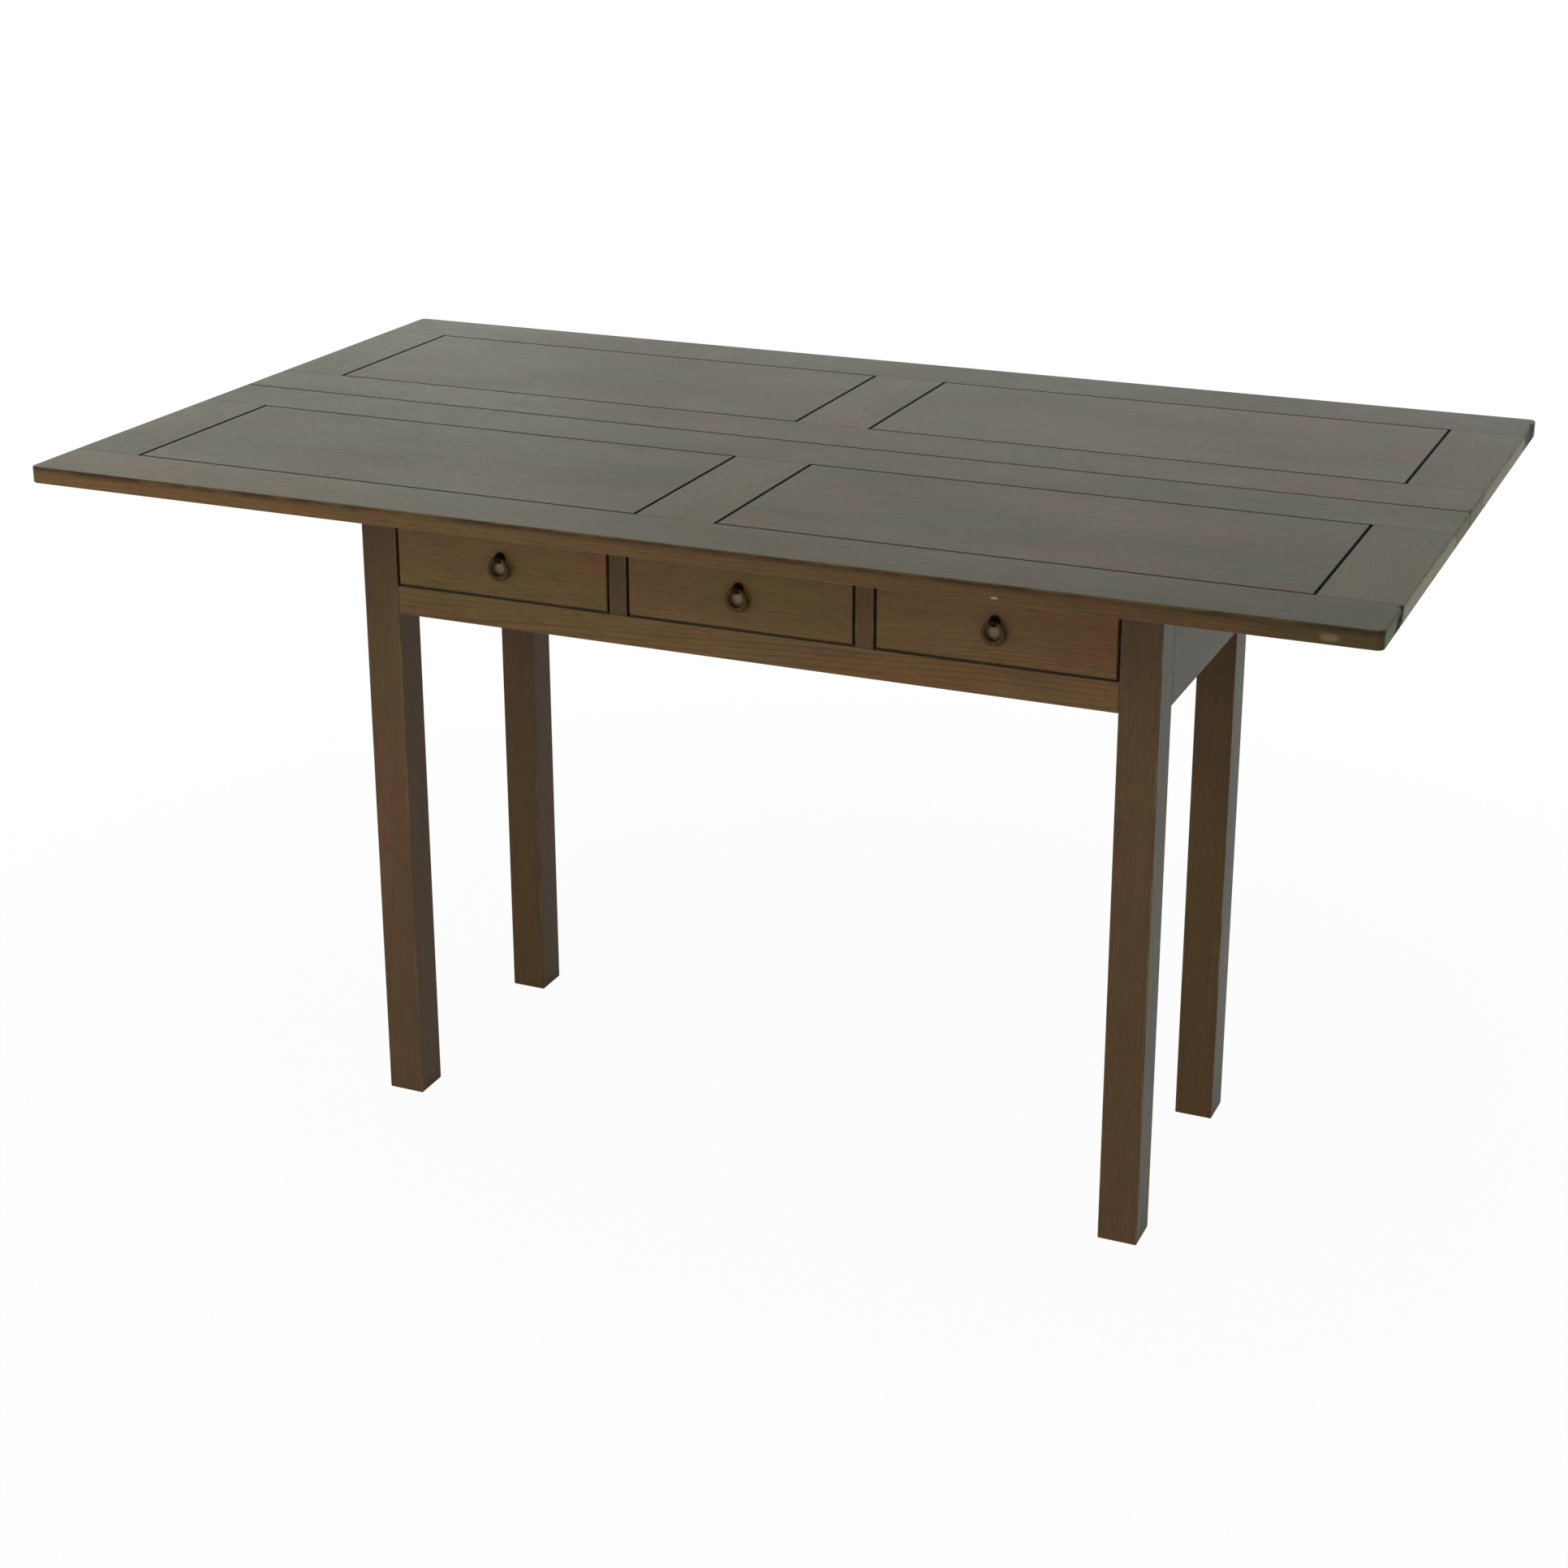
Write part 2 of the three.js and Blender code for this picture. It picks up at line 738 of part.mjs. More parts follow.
// turned is -1 for the leaf whose group is turned half round, which swaps its left and right
function leafGroup(leaf, turned) {
  const group = new THREE.Group();
  group.add(meshOf(`${leaf}_seam_rail`, seamRail(), "top"));
  group.add(meshOf(`${leaf}_outer_rail`, outerRail(), "top"));
  group.add(meshOf(`${leaf}_middle_stile`, middleStile(), "top"));
  for (const [side, signX] of Object.entries(sideNames)) {
    group.add(meshOf(`${leaf}_end_stile_${side}`, endStile(signX * turned), "top"));
    group.add(meshOf(`${leaf}_panel_${side}`, panel(signX * turned), "panel"));
  }
  for (const [place, share] of Object.entries(placeShares)) {
    group.add(meshOf(`${leaf}_hinge_barrel_${place}`, hingeBarrel(share * turned), "steel"));
  }
  group.rotation.z = turned < 0 ? Math.PI : 0;
  return group;
}

function drawerGroup(place) {
  const group = new THREE.Group();
  group.add(meshOf(`${place}_drawer_front`, drawerFront(), "front"));
  group.add(meshOf(`${place}_drawer_back`, drawerBack(), "inner"));
  group.add(meshOf(`${place}_drawer_bottom`, drawerBottom(), "inner"));
  for (const [side, signX] of Object.entries(sideNames)) {
    group.add(meshOf(`${place}_drawer_${side}_side`, drawerSide(signX), "inner"));
  }
  group.add(meshOf(`${place}_pull_post`, pullPost(), "bronze"));
  group.add(meshOf(`${place}_pull_ring`, pullRing(), "bronze"));
  group.position.x = placeShares[place] * drawerPitch;
  return group;
}

const table = new THREE.Group();
table.add(baseGroup());
table.add(leafGroup("main", -1));
table.add(leafGroup("fold", 1));
table.add(meshOf("slide_carriage", carriage(), "inner"));
for (const place of Object.keys(placeShares)) {
  table.add(drawerGroup(place));
}

export default table;
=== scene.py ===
"""An extendable console table, shown open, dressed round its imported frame.

Everything is in metres and in the frame's own axes: x runs along the table, -y is the front and z is up.
Wooden pieces are copies of the frame's solids with eased arrises and a grain that runs through the wood,
the pulls are turned and swept anew, and screws, nuts and washers are set out by Geometry Nodes.
"""

from __future__ import annotations

import logging
import math
import random
from collections.abc import Iterable, Mapping, Sequence
from dataclasses import dataclass, field, replace
from enum import Enum, StrEnum
from typing import Any

import bmesh
import bpy
from mathutils import Matrix, Vector

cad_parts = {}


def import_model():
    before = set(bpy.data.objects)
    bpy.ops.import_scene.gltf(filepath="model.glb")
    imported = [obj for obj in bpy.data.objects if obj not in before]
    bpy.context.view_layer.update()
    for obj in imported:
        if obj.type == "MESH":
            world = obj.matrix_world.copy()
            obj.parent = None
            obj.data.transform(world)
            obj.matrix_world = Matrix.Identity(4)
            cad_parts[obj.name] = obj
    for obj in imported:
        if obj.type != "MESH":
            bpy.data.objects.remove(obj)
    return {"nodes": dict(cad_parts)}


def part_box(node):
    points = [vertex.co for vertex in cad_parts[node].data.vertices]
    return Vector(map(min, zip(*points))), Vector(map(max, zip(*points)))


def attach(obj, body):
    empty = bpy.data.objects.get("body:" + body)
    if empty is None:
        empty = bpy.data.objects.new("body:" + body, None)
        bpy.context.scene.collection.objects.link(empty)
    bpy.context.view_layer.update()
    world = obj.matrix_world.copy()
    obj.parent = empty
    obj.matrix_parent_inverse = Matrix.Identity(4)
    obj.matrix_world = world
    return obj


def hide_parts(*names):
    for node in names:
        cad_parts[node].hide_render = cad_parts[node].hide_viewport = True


LOG = logging.getLogger("console_table")

MM = 0.001
MERGE_DISTANCE = 0.002 * MM
FLAT_ANGLE = math.radians(0.5)
ARRIS_ANGLE = math.radians(40)
SMOOTH_ANGLE = math.radians(50)
QUARTER_TURN = math.pi / 2

Object = bpy.types.Object
Material = bpy.types.Material
Draft = bmesh.types.BMesh
Colour = tuple[float, float, float, float]
Triple = tuple[float, float, float]
Pair = tuple[float, float]
Points = Sequence[Sequence[float]]
WHITE: Colour = (1.0, 1.0, 1.0, 1.0)


class Place(StrEnum):
    """Where a piece is, as its node's name says it."""

    LEFT = "left"
    MIDDLE = "middle"
    RIGHT = "right"


SIDES = (Place.LEFT, Place.RIGHT)


class Half(StrEnum):
    """One half of the top, as its nodes' names say it."""

    MAIN = "main"
    FOLD = "fold"


def stain(code: str) -> Colour:
    """Turn a screen colour into the linear colour that shaders use.

    Args:
        code: Six hexadecimal digits, such as "5d4a30".

    Returns:
        Red, green, blue and alpha.
    """
    channels = [int(code[i : i + 2], 16) / 255 for i in (0, 2, 4)]
    linear = [c / 12.92 if c <= 0.04045 else ((c + 0.055) / 1.055) ** 2.4 for c in channels]
    return (*linear, 1.0)


# Node trees

class Wire:
    """A value on its way through a node tree, used in sums like a number."""

    def __init__(self, wiring: "Wiring", socket: bpy.types.NodeSocket) -> None:
        """Keep the output socket and the tree that it belongs to."""
        self.wiring = wiring
        self.socket = socket

    def __add__(self, other: "Value") -> "Wire":
        """Return self + other."""
        return self.wiring.maths("ADD", self, other)

    __radd__ = __add__

    def __sub__(self, other: "Value") -> "Wire":
        """Return self - other."""
        return self.wiring.maths("SUBTRACT", self, other)

    def __rsub__(self, other: "Value") -> "Wire":
        """Return other - self."""
        return self.wiring.maths("SUBTRACT", other, self)

    def __mul__(self, other: "Value") -> "Wire":
        """Return self * other."""
        return self.wiring.maths("MULTIPLY", self, other)

    __rmul__ = __mul__

    def __truediv__(self, other: "Value") -> "Wire":
        """Return self / other."""
        return self.wiring.maths("DIVIDE", self, other)

    def __rtruediv__(self, other: "Value") -> "Wire":
        """Return other / self."""
        return self.wiring.maths("DIVIDE", other, self)

    def __neg__(self) -> "Wire":
        """Return -self."""
        return self.wiring.maths("MULTIPLY", self, -1.0)


Value = Wire | float | Sequence[float]
Inputs = Mapping[str | int, Any] | None


class Wiring:
    """A node tree and the few ways that one grows."""

    def __init__(self, tree: bpy.types.NodeTree) -> None:
        """Keep the tree that nodes are added to."""
        self.tree = tree

    def node(self, kind: str, inputs: Inputs = None, **settings: str) -> bpy.types.Node:
        """Add a node, set it up and feed its sockets.

        Args:
            kind: The node's type, such as "ShaderNodeTexNoise".
            inputs: A value, a Wire or a list of Wires for each socket, by name or number.
            settings: Properties of the node, which are set first.

        Returns:
            The new node.
        """
        made = self.tree.nodes.new(kind)
        for name, value in settings.items():
            setattr(made, name, value)
        for key, value in (inputs or {}).items():
            for one in value if isinstance(value, list) else [value]:
                if isinstance(one, Wire):
                    self.tree.links.new(one.socket, made.inputs[key])
                else:
                    made.inputs[key].default_value = one
        return made

    def out(self, node: bpy.types.Node, key: str | int = 0) -> Wire:
        """Return one output of a node as a Wire."""
        return Wire(self, node.outputs[key])

    def wire(self, kind: str, inputs: Inputs = None, key: str | int = 0, **settings: str) -> Wire:
        """Add a node and return one of its outputs as a Wire."""
        return self.out(self.node(kind, inputs, **settings), key)

    def maths(self, operation: str, *values: Value) -> Wire:
        """Return the result of a Math node."""
        return self.wire("ShaderNodeMath", dict(enumerate(values)), operation=operation)

    def vector(self, operation: str, *values: Value) -> Wire:
        """Return the vector result of a Vector Math node."""
        return self.wire("ShaderNodeVectorMath", dict(enumerate(values)), operation=operation)

    def scaled(self, vector: Wire, factor: Value) -> Wire:
        """Return a vector or a colour times a number."""
        return self.wire("ShaderNodeVectorMath", {0: vector, 3: factor}, operation="SCALE")

    def length(self, vector: Wire) -> Wire:
        """Return how long a vector is."""
        return self.wire("ShaderNodeVectorMath", {0: vector}, "Value", operation="LENGTH")

    def parts(self, vector: Wire) -> tuple[Wire, Wire, Wire]:
        """Return the x, y and z of a vector."""
        split = self.node("ShaderNodeSeparateXYZ", {0: vector})
        return self.out(split, 0), self.out(split, 1), self.out(split, 2)

    def joined(self, x: Value, y: Value, z: Value) -> Wire:
        """Return a vector made of three values."""
        return self.wire("ShaderNodeCombineXYZ", {0: x, 1: y, 2: z})

    def step(self, value: Wire, low: Value, high: Value) -> Wire:
        """Return 0 below low, 1 above high and a smooth rise between them."""
        inputs = {0: value, 1: low, 2: high}
        return self.wire("ShaderNodeMapRange", inputs, interpolation_type="SMOOTHSTEP")

    def chance(self, number: Wire) -> Wire:
        """Return a random value from 0 to 1 for each whole number."""
        return self.wire("ShaderNodeTexWhiteNoise", {"W": number}, "Value", noise_dimensions="1D")

    def noise(self, place: Wire, scale: float, detail: float = 2.0, rough: float = 0.5) -> Wire:
        """Return smooth noise of about 0 to 1, from its scale, its octaves and their strength."""
        inputs = {"Vector": place, "Scale": scale, "Detail": detail, "Roughness": rough}
        return self.wire("ShaderNodeTexNoise", inputs)


class Shader(Wiring):
    """A material's node tree."""

    def __init__(self, name: str) -> None:
        """Start an empty material.

        Args:
            name: The material's name.
        """
        self.material = bpy.data.materials.new(name)
        self.material.use_nodes = True
        super().__init__(self.material.node_tree)
        self.tree.nodes.clear()

    def place(self) -> Wire:
        """Return the point of the surface in the frame's axes."""
        return self.wire("ShaderNodeTexCoord", key="Object")

    def mix(self, factor: Value, first: Value, second: Value, blend: str = "MIX") -> Wire:
        """Return a blend of two colours."""
        inputs = {0: factor, 6: first, 7: second}
        return self.wire("ShaderNodeMix", inputs, 2, data_type="RGBA", blend_type=blend)

    def under(self, value: Wire, face: float, depths: Pair) -> Wire:
        """Return 0 further under a face than the first depth and 1 nearer than the second."""
        return self.step(value, face - depths[0], face - depths[1])

    def surface(self, shader: Wire) -> Material:
        """Lead a shader to the material's output and return the material."""
        self.node("ShaderNodeOutputMaterial", {"Surface": shader})
        return self.material

    def principled(self, height: Wire, strength: float, depth: float, inputs: Inputs) -> Material:
        """Finish the material with a Principled shader over a bump.

        Args:
            height: The bump's height.
            strength: How strong the bump is.
            depth: How deep a height of 1 is, in metres.
            inputs: The shader's other inputs.

        Returns:
            The finished material.
        """
        bumps = {"Strength": strength, "Distance": depth, "Height": height}
        normal = self.wire("ShaderNodeBump", bumps)
        shader = self.wire("ShaderNodeBsdfPrincipled", {**inputs, "Normal": normal})
        return self.surface(shader)


# Finishes

class Grain(Enum):
    """The axis that the grain runs along, then the two across it."""

    ALONG_X = (0, 1, 2)
    ALONG_Y = (1, 0, 2)
    ALONG_Z = (2, 0, 1)


class Cut(Enum):
    """How a board was sawn: where the heart of the tree lies from its middle, across and up, in metres."""

    FLAT = (0.012, -0.085)
    RIFT = (0.095, -0.070)
    QUARTER = (0.160, -0.015)


@dataclass(frozen=True)
class Waves:
    """Noise that follows the grain: waves per metre along, across and up, octaves and their strength."""

    stretch: Triple
    detail: float = 2.0
    rough: float = 0.5


@dataclass(frozen=True)
class Mark:
    """A small rubbed or chipped spot, placed in millimetres."""

    place: Triple
    reach: Triple
    colour: Colour
    strength: float = 1.0
    core_share: float = 0.3

    def mask(self, shader: "BoardShader") -> Wire:
        """Return the mask of the spot.

        Args:
            shader: The board's shader.

        Returns:
            A wire that is greatest in the spot's core and fades out at its reach.
        """
        offset = shader.vector("SUBTRACT", shader.point, tuple(v * MM for v in self.place))
        scaled = shader.vector("DIVIDE", offset, tuple(v * MM for v in self.reach))
        return (1.0 - shader.step(shader.length(scaled), self.core_share, 1.0)) * self.strength


@dataclass(frozen=True)
class Groove:
    """The open groove round a panel, or the gap round a drawer front, darkened by pooled stain and painted
    shade.
    """

    panel: str
    hidden: float = 9 * MM
    width_x: float = 3 * MM
    width_y: float = 2 * MM
    spread: float = 2.2 * MM
    strength: float = 0.9
    across: int = 1
    soft: float = 0.4 * MM

    def mask(self, shader: "BoardShader") -> Wire:
        """Return the mask of the pooled stain and painted shade in and beside the groove.

        Args:
            shader: The board's shader.

        Returns:
            A wire that is greatest in the groove and fades out on the faces beside it.
        """
        low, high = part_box(self.panel)
        half = (high - low) / 2
        offset = shader.vector("SUBTRACT", shader.point, tuple((low + high) / 2))
        sides = shader.parts(shader.vector("ABSOLUTE", offset))
        beyond_x = sides[0] - (half.x - self.hidden)
        beyond_y = sides[self.across] - (half[self.across] - self.hidden)
        outer = shader.maths("MAXIMUM", beyond_x, beyond_y)
        inner = shader.maths("MAXIMUM", beyond_x + self.width_x, beyond_y + self.width_y)
        faded_out = 1.0 - shader.step(outer, -self.soft, self.spread)
        return faded_out * shader.step(inner, -self.spread, self.soft) * self.strength


@dataclass
class Board:
    """One piece of wood, as its finish needs to know it."""

    node: str
    grain: Grain
    cut: Cut = Cut.FLAT
    staves: int = 1
    drift: float = 0.0
    grooves: tuple[Groove, ...] = ()
    marks: tuple[Mark, ...] = ()
    low: Vector = field(default_factory=Vector)
    high: Vector = field(default_factory=Vector)

    def __post_init__(self) -> None:
        """Read where the piece lies from the frame."""
        self.low, self.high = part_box(self.node)


@dataclass(frozen=True)
class Figure:
    """The noises of a wood, where they turn into masks, and how far its rings wander."""

    fibres: Waves = Waves((9, 520, 520), 3.0, 0.6)
    streaks: Waves = Waves((1.7, 46, 46))
    mottle: Waves = Waves((13, 24, 24), 4.0, 0.68)
    pores: Waves = Waves((60, 1500, 1500), 1.0)
    rubs: Waves = Waves((30, 70, 70))
    haze: Waves = Waves((5, 9, 9), 3.0)
    drift: Waves = Waves((1.3, 5, 5), 1.0)
    sway: Waves = Waves((2.1, 7, 7), 1.0)
    wobble: Waves = Waves((9, 60, 60))
    even: float = 0.5
    pore_limits: Pair = (0.58, 0.70)
    rub_limits: Pair = (0.44, 0.66)
    cloud_limits: Pair = (0.46, 0.68)
    lip_limits: Pair = (0.3, 0.6)
    late_rise: Pair = (0.30, 0.88)
    late_fall: Pair = (0.92, 1.0)
    late_least: float = 0.35
    pores_closed_late: float = 0.6
    drift_reach: float = 60 * MM
    sway_reach: float = 55 * MM
    wobble_reach: float = 2.2 * MM
    olive_stretch: float = 1.25
    cloud_detail: float = 3.0
    cloud_rough: float = 0.55


@dataclass(frozen=True)
class Depths:
    """How far under its faces a board's wear, its painted sheen and its painted shade reach, from none to
    all, in metres.
    """

    grey: Pair = (0.9 * MM, 0.1 * MM)
    lip: Pair = (8 * MM, 1.2 * MM)
    bleach: Pair = (0.9 * MM, 0.3 * MM)
    end: Pair = (0.25 * MM, 0.9 * MM)
    arris: Pair = (0.5 * MM, 2.6 * MM)


@dataclass(frozen=True)
class Relief:
    """How much each trait of the wood stands in its bump."""

    fibres: float = 0.30
    pores: float = 0.9
    late: float = 0.18
    streaks: float = 0.25
    strength: float = 0.6
    depth: float = 0.12 * MM


@dataclass(frozen=True)
class Dulling:
    """How much each trait of the wood adds to its roughness."""

    haze: float = 0.16
    fibres: float = 0.10
    pores: float = 0.16
    ends: float = 0.15
    rubs: float = 0.1
    bruises: float = 0.5


@dataclass(frozen=True)
class Wood:
    """A stained wood with a satin varnish: its colours, its figure and its sheen."""

    slot: str
    plain: Colour
    late: Colour
    pore: Colour
    ruddy: Colour
    olive: Colour
    worn: Colour
    pool: Colour = stain("331c0c")
    ring_pitch: float = 3.4 * MM
    ring_strength: float = 0.5
    ring_tone: float = 0.35
    cloud_strength: float = 0.5
    fibre_strength: float = 0.34
    streak_strength: float = 0.3
    pore_strength: float = 0.5
    stave_strength: float = 0.16
    stave_start: Pair = (3, 5)
    cloud_scale: Pair = (3.2, 11.0)
    mottle: float = 0.12
    tones: Pair = (0.93, 1.07)
    shifts: Pair = (-9, 9)
    # Painted sheen on the top face and on the end faces, and painted shade under the top's arris.
    weathered: Colour = WHITE
    bleached: Colour = WHITE
    lip: float = 0.0
    wear: float = 0.35
    end_shade: float = 0.45
    roughness: float = 0.3
    gloss: float = 0.13
    veil: float = 0.2
    veil_roughness: float = 0.3
    veil_colour: Colour = (0.76, 1.0, 0.80, 1.0)
    figure: Figure = Figure()
    depths: Depths = Depths()
    relief: Relief = Relief()
    dulling: Dulling = Dulling()


class BoardShader(Shader):
    """The material of one board while it is made, with the surface's point in the board's own axes."""

    def __init__(self, wood: Wood, board: Board) -> None:
        """Turn the surface's point so that its first axis runs along the grain, from the middle.

        Args:
            wood: The finish.
            board: The piece of wood and how it was sawn.
        """
        super().__init__(f"{board.node}_{wood.slot}")
        self.wood = wood
        self.board = board
        self.luck = random.Random(board.node)
        self.point = self.place()
        ordered = self.parts(self.vector("SUBTRACT", self.point, tuple((board.low + board.high) / 2)))
        self.along, self.across, self.up = (ordered[axis] for axis in board.grain.value)
        self.grain = self.joined(self.along, self.across, self.up)
        self.span = (board.high - board.low)[board.grain.value[0]]
        self.start = self.shift()

    def shift(self) -> tuple[float, ...]:
        """Draw where a noise starts."""
        return tuple(self.luck.uniform(*self.wood.shifts) for _ in range(3))

    def waves(self, waves: Waves, start: Sequence[float] | None = None) -> Wire:
        """Return noise that is stretched along the grain.

        Args:
            waves: The noise.
            start: Where it starts, if not where the board's noises do.

        Returns:
            The noise, from about 0 to 1.
        """
        inputs = {"Vector": self.grain, "Location": start or self.start, "Scale": waves.stretch}
        stretched = self.wire("ShaderNodeMapping", inputs)
        return self.noise(stretched, 1.0, waves.detail, waves.rough)

    def dress(self) -> Material:
        """Put the board's traits together.

        Returns:
            A material whose grain, tone and wear belong to that board alone.
        """
        wood, figure, even = self.wood, self.wood.figure, self.wood.figure.even
        late = self.rings()
        fibres = self.waves(figure.fibres)
        streaks = self.waves(figure.streaks, self.start[::-1])
        mottle = self.waves(figure.mottle, self.start[::-1])
        pores = self.step(self.waves(figure.pores), *figure.pore_limits)
        pores = pores * (1.0 - figure.pores_closed_late * late)

        tone = self.luck.uniform(*wood.tones)
        tone = tone + (fibres - even) * wood.fibre_strength + (streaks - even) * wood.streak_strength
        tone = tone + (mottle - even) * wood.mottle - late * wood.ring_strength * wood.ring_tone
        tone = tone + self.staves() + self.along * (self.board.drift / self.span)
        colour = self.scaled(self.mix(late * wood.ring_strength, self.clouds(), wood.late), tone)
        colour = self.mix(pores * wood.pore_strength, colour, wood.pore)
        # Painted sheen on the top and end faces, painted shade under the arris.
        colour = self.exposed(mottle, colour)

        ends, arrises = self.edges()
        rubs = arrises * self.step(self.waves(figure.rubs), *figure.rub_limits) * wood.wear
        colour = self.mix(rubs, self.mix(ends * wood.end_shade, colour, wood.late), wood.worn)
        bruises: Value = 0.0
        # Marks of wear and dark joints, and on the drawer fronts the painted highlight behind the ring.
        for mark in self.board.marks:
            spot = mark.mask(self)
            colour = self.mix(spot, colour, mark.colour)
            bruises = spot + bruises
        # Pooled stain and painted shade in and beside the grooves and gaps.
        for groove in self.board.grooves:
            colour = self.mix(groove.mask(self), colour, wood.pool)

        haze = self.waves(figure.haze)
        dull, relief = wood.dulling, wood.relief
        rough = wood.roughness + (haze - even) * dull.haze + (fibres - even) * dull.fibres
        rough = rough + pores * dull.pores + ends * dull.ends + rubs * dull.rubs
        height = fibres * relief.fibres - pores * relief.pores
        return self.principled(
            height - late * relief.late + streaks * relief.streaks,
            relief.strength,
            relief.depth,
            {
                "Base Color": colour,
                "Roughness": rough + bruises * dull.bruises,
                "Specular IOR Level": wood.gloss,
                "Sheen Weight": wood.veil,
                "Sheen Roughness": wood.veil_roughness,
                "Sheen Tint": wood.veil_colour,
            },
        )

    def rings(self) -> Wire:
        """Draw the growth rings round the heart of the tree.

        Returns:
            A wire that is 1 in the dark late wood.
        """
        figure = self.wood.figure
        heart_across, heart_up = self.board.cut.value
        drift = self.waves(figure.drift) - figure.even
        sway = self.waves(figure.sway, self.start[::-1]) - figure.even
        wobble = self.waves(figure.wobble) - figure.even
        off_across = self.across - heart_across + drift * figure.drift_reach
        off_up = self.up - heart_up + sway * figure.sway_reach
        radius = self.maths("SQRT", off_across * off_across + off_up * off_up)
        phase = (radius + wobble * figure.wobble_reach) / self.wood.ring_pitch
        share = self.maths("FRACT", phase)
        rise = self.step(share, *figure.late_rise) * (1.0 - self.step(share, *figure.late_fall))
        year = self.chance(self.maths("FLOOR", phase))
        return rise * (year * (1.0 - figure.late_least) + figure.late_least)

    def clouds(self) -> Wire:
        """Lay reddish and greenish clouds over the stain's own colour.

        Returns:
            The colour before grain and wear.
        """
        wood, figure = self.wood, self.wood.figure
        colour: Value = wood.plain
        along, across = wood.cloud_scale
        for tint, stretch in ((wood.ruddy, 1.0), (wood.olive, figure.olive_stretch)):
            waves = Waves((along * stretch, across, across), figure.cloud_detail, figure.cloud_rough)
            cloud = self.step(self.waves(waves, self.shift()), *figure.cloud_limits)
            colour = self.mix(cloud * wood.cloud_strength, colour, tint)
        return colour

    def staves(self) -> Value:
        """Change the tone a little from one glued stave of a panel to the next.

        Returns:
            What the stave adds to the tone.
        """
        wood, board = self.wood, self.board
        if board.staves == 1:
            return 0.0
        axis = board.grain.value[1]
        width = board.high[axis] - board.low[axis]
        number = self.across * (board.staves / width) + self.luck.uniform(*wood.stave_start)
        return (self.chance(self.maths("FLOOR", number)) - wood.figure.even) * wood.stave_strength

    def edges(self) -> tuple[Wire, Wire]:
        """Find the end grain and the arrises from the distances to the faces of the board's box.

        Returns:
            A mask of the two ends and a mask of the arrises.
        """
        below = self.vector("SUBTRACT", self.point, tuple(self.board.low))
        above = self.vector("SUBTRACT", tuple(self.board.high), self.point)
        x, y, z = self.parts(self.vector("MINIMUM", below, above))
        least = self.maths("MINIMUM", self.maths("MINIMUM", x, y), z)
        most = self.maths("MAXIMUM", self.maths("MAXIMUM", x, y), z)
        from_end = self.span / 2 - self.maths("ABSOLUTE", self.along)
        ends = 1.0 - self.step(from_end, *self.wood.depths.end)
        return ends, 1.0 - self.step(x + y + z - least - most, *self.wood.depths.arris)

    def exposed(self, mottle: Wire, colour: Wire) -> Wire:
        """Paint light and shade into the colour of the board's top, ends and lip.

        Args:
            mottle: The wood's patches.
            colour: The colour so far.

        Returns:
            The colour, with painted sheen on the top face and on the face towards the end, and painted
            shade under the lip.
        """
        wood, top = self.wood, self.board.high.z
        x, _, z = self.parts(self.point)
        upper = self.under(z, top, wood.depths.grey)
        # Painted shade: the faces just under the top's arris are darkened in patches.
        if wood.lip:
            patches = self.step(mottle, *wood.figure.lip_limits)
            lip = self.under(z, top, wood.depths.lip) * (1.0 - upper) * patches * wood.lip
            colour = self.mix(lip, colour, wood.pore)
        # Painted sheen: the top face is tinted grey-green as the cool sheen of light on it.
        colour = self.mix(upper, colour, wood.weathered, "MULTIPLY")
        # Painted sheen: the end faces at the outermost x are made paler and cooler, as the grazing sheen
        # of light on them.
        outermost = max(abs(self.board.low.x), abs(self.board.high.x))
        end = self.under(self.maths("ABSOLUTE", x), outermost, wood.depths.bleach)
        return self.mix(end * (1.0 - upper), colour, wood.bleached, "MULTIPLY")


@dataclass(frozen=True)
class Metal:
    """A metal with a patina that is rubbed where fingers reach it."""

    slot: str
    fresh: Colour
    patina: Colour
    rubbed_share: float
    roughness: float
    metallic: float = 0.9
    gloss: float = 0.5
    edge: Colour = WHITE
    grit: float = 0.05 * MM
    grit_strength: float = 0.5
    cloud_scale: float = 160.0
    cloud_detail: float = 4.0
    cloud_rough: float = 0.6
    fine_scale: float = 1400.0
    cloud_share: float = 0.7
    rub_fade: float = 0.12
    rub_strength: float = 0.8
    rub_shine: float = 0.08
    unevenness: float = 0.18

    def material(self) -> Material:
        """Make the metal's material.

        Returns:
            A material that any piece of the metal can take.
        """
        shader = Shader(f"{self.slot}_{round(100 * self.rubbed_share)}_rubbed")
        place = shader.place()
        cloud = shader.noise(place, self.cloud_scale, self.cloud_detail, self.cloud_rough)
        fine = shader.noise(place, self.fine_scale)
        edge = 1.0 - self.rubbed_share
        rubbed = shader.step(cloud, edge, edge + self.rub_fade)
        rough = self.roughness + (fine - 0.5) * self.unevenness - rubbed * self.rub_shine
        return shader.principled(
            cloud * self.cloud_share + fine * (1.0 - self.cloud_share),
            self.grit_strength,
            self.grit,
            {
                "Base Color": shader.mix(rubbed * self.rub_strength, self.patina, self.fresh),
                "Metallic": self.metallic,
                "Roughness": rough,
                "Specular IOR Level": self.gloss,
                "Specular Tint": self.edge,
            },
        )


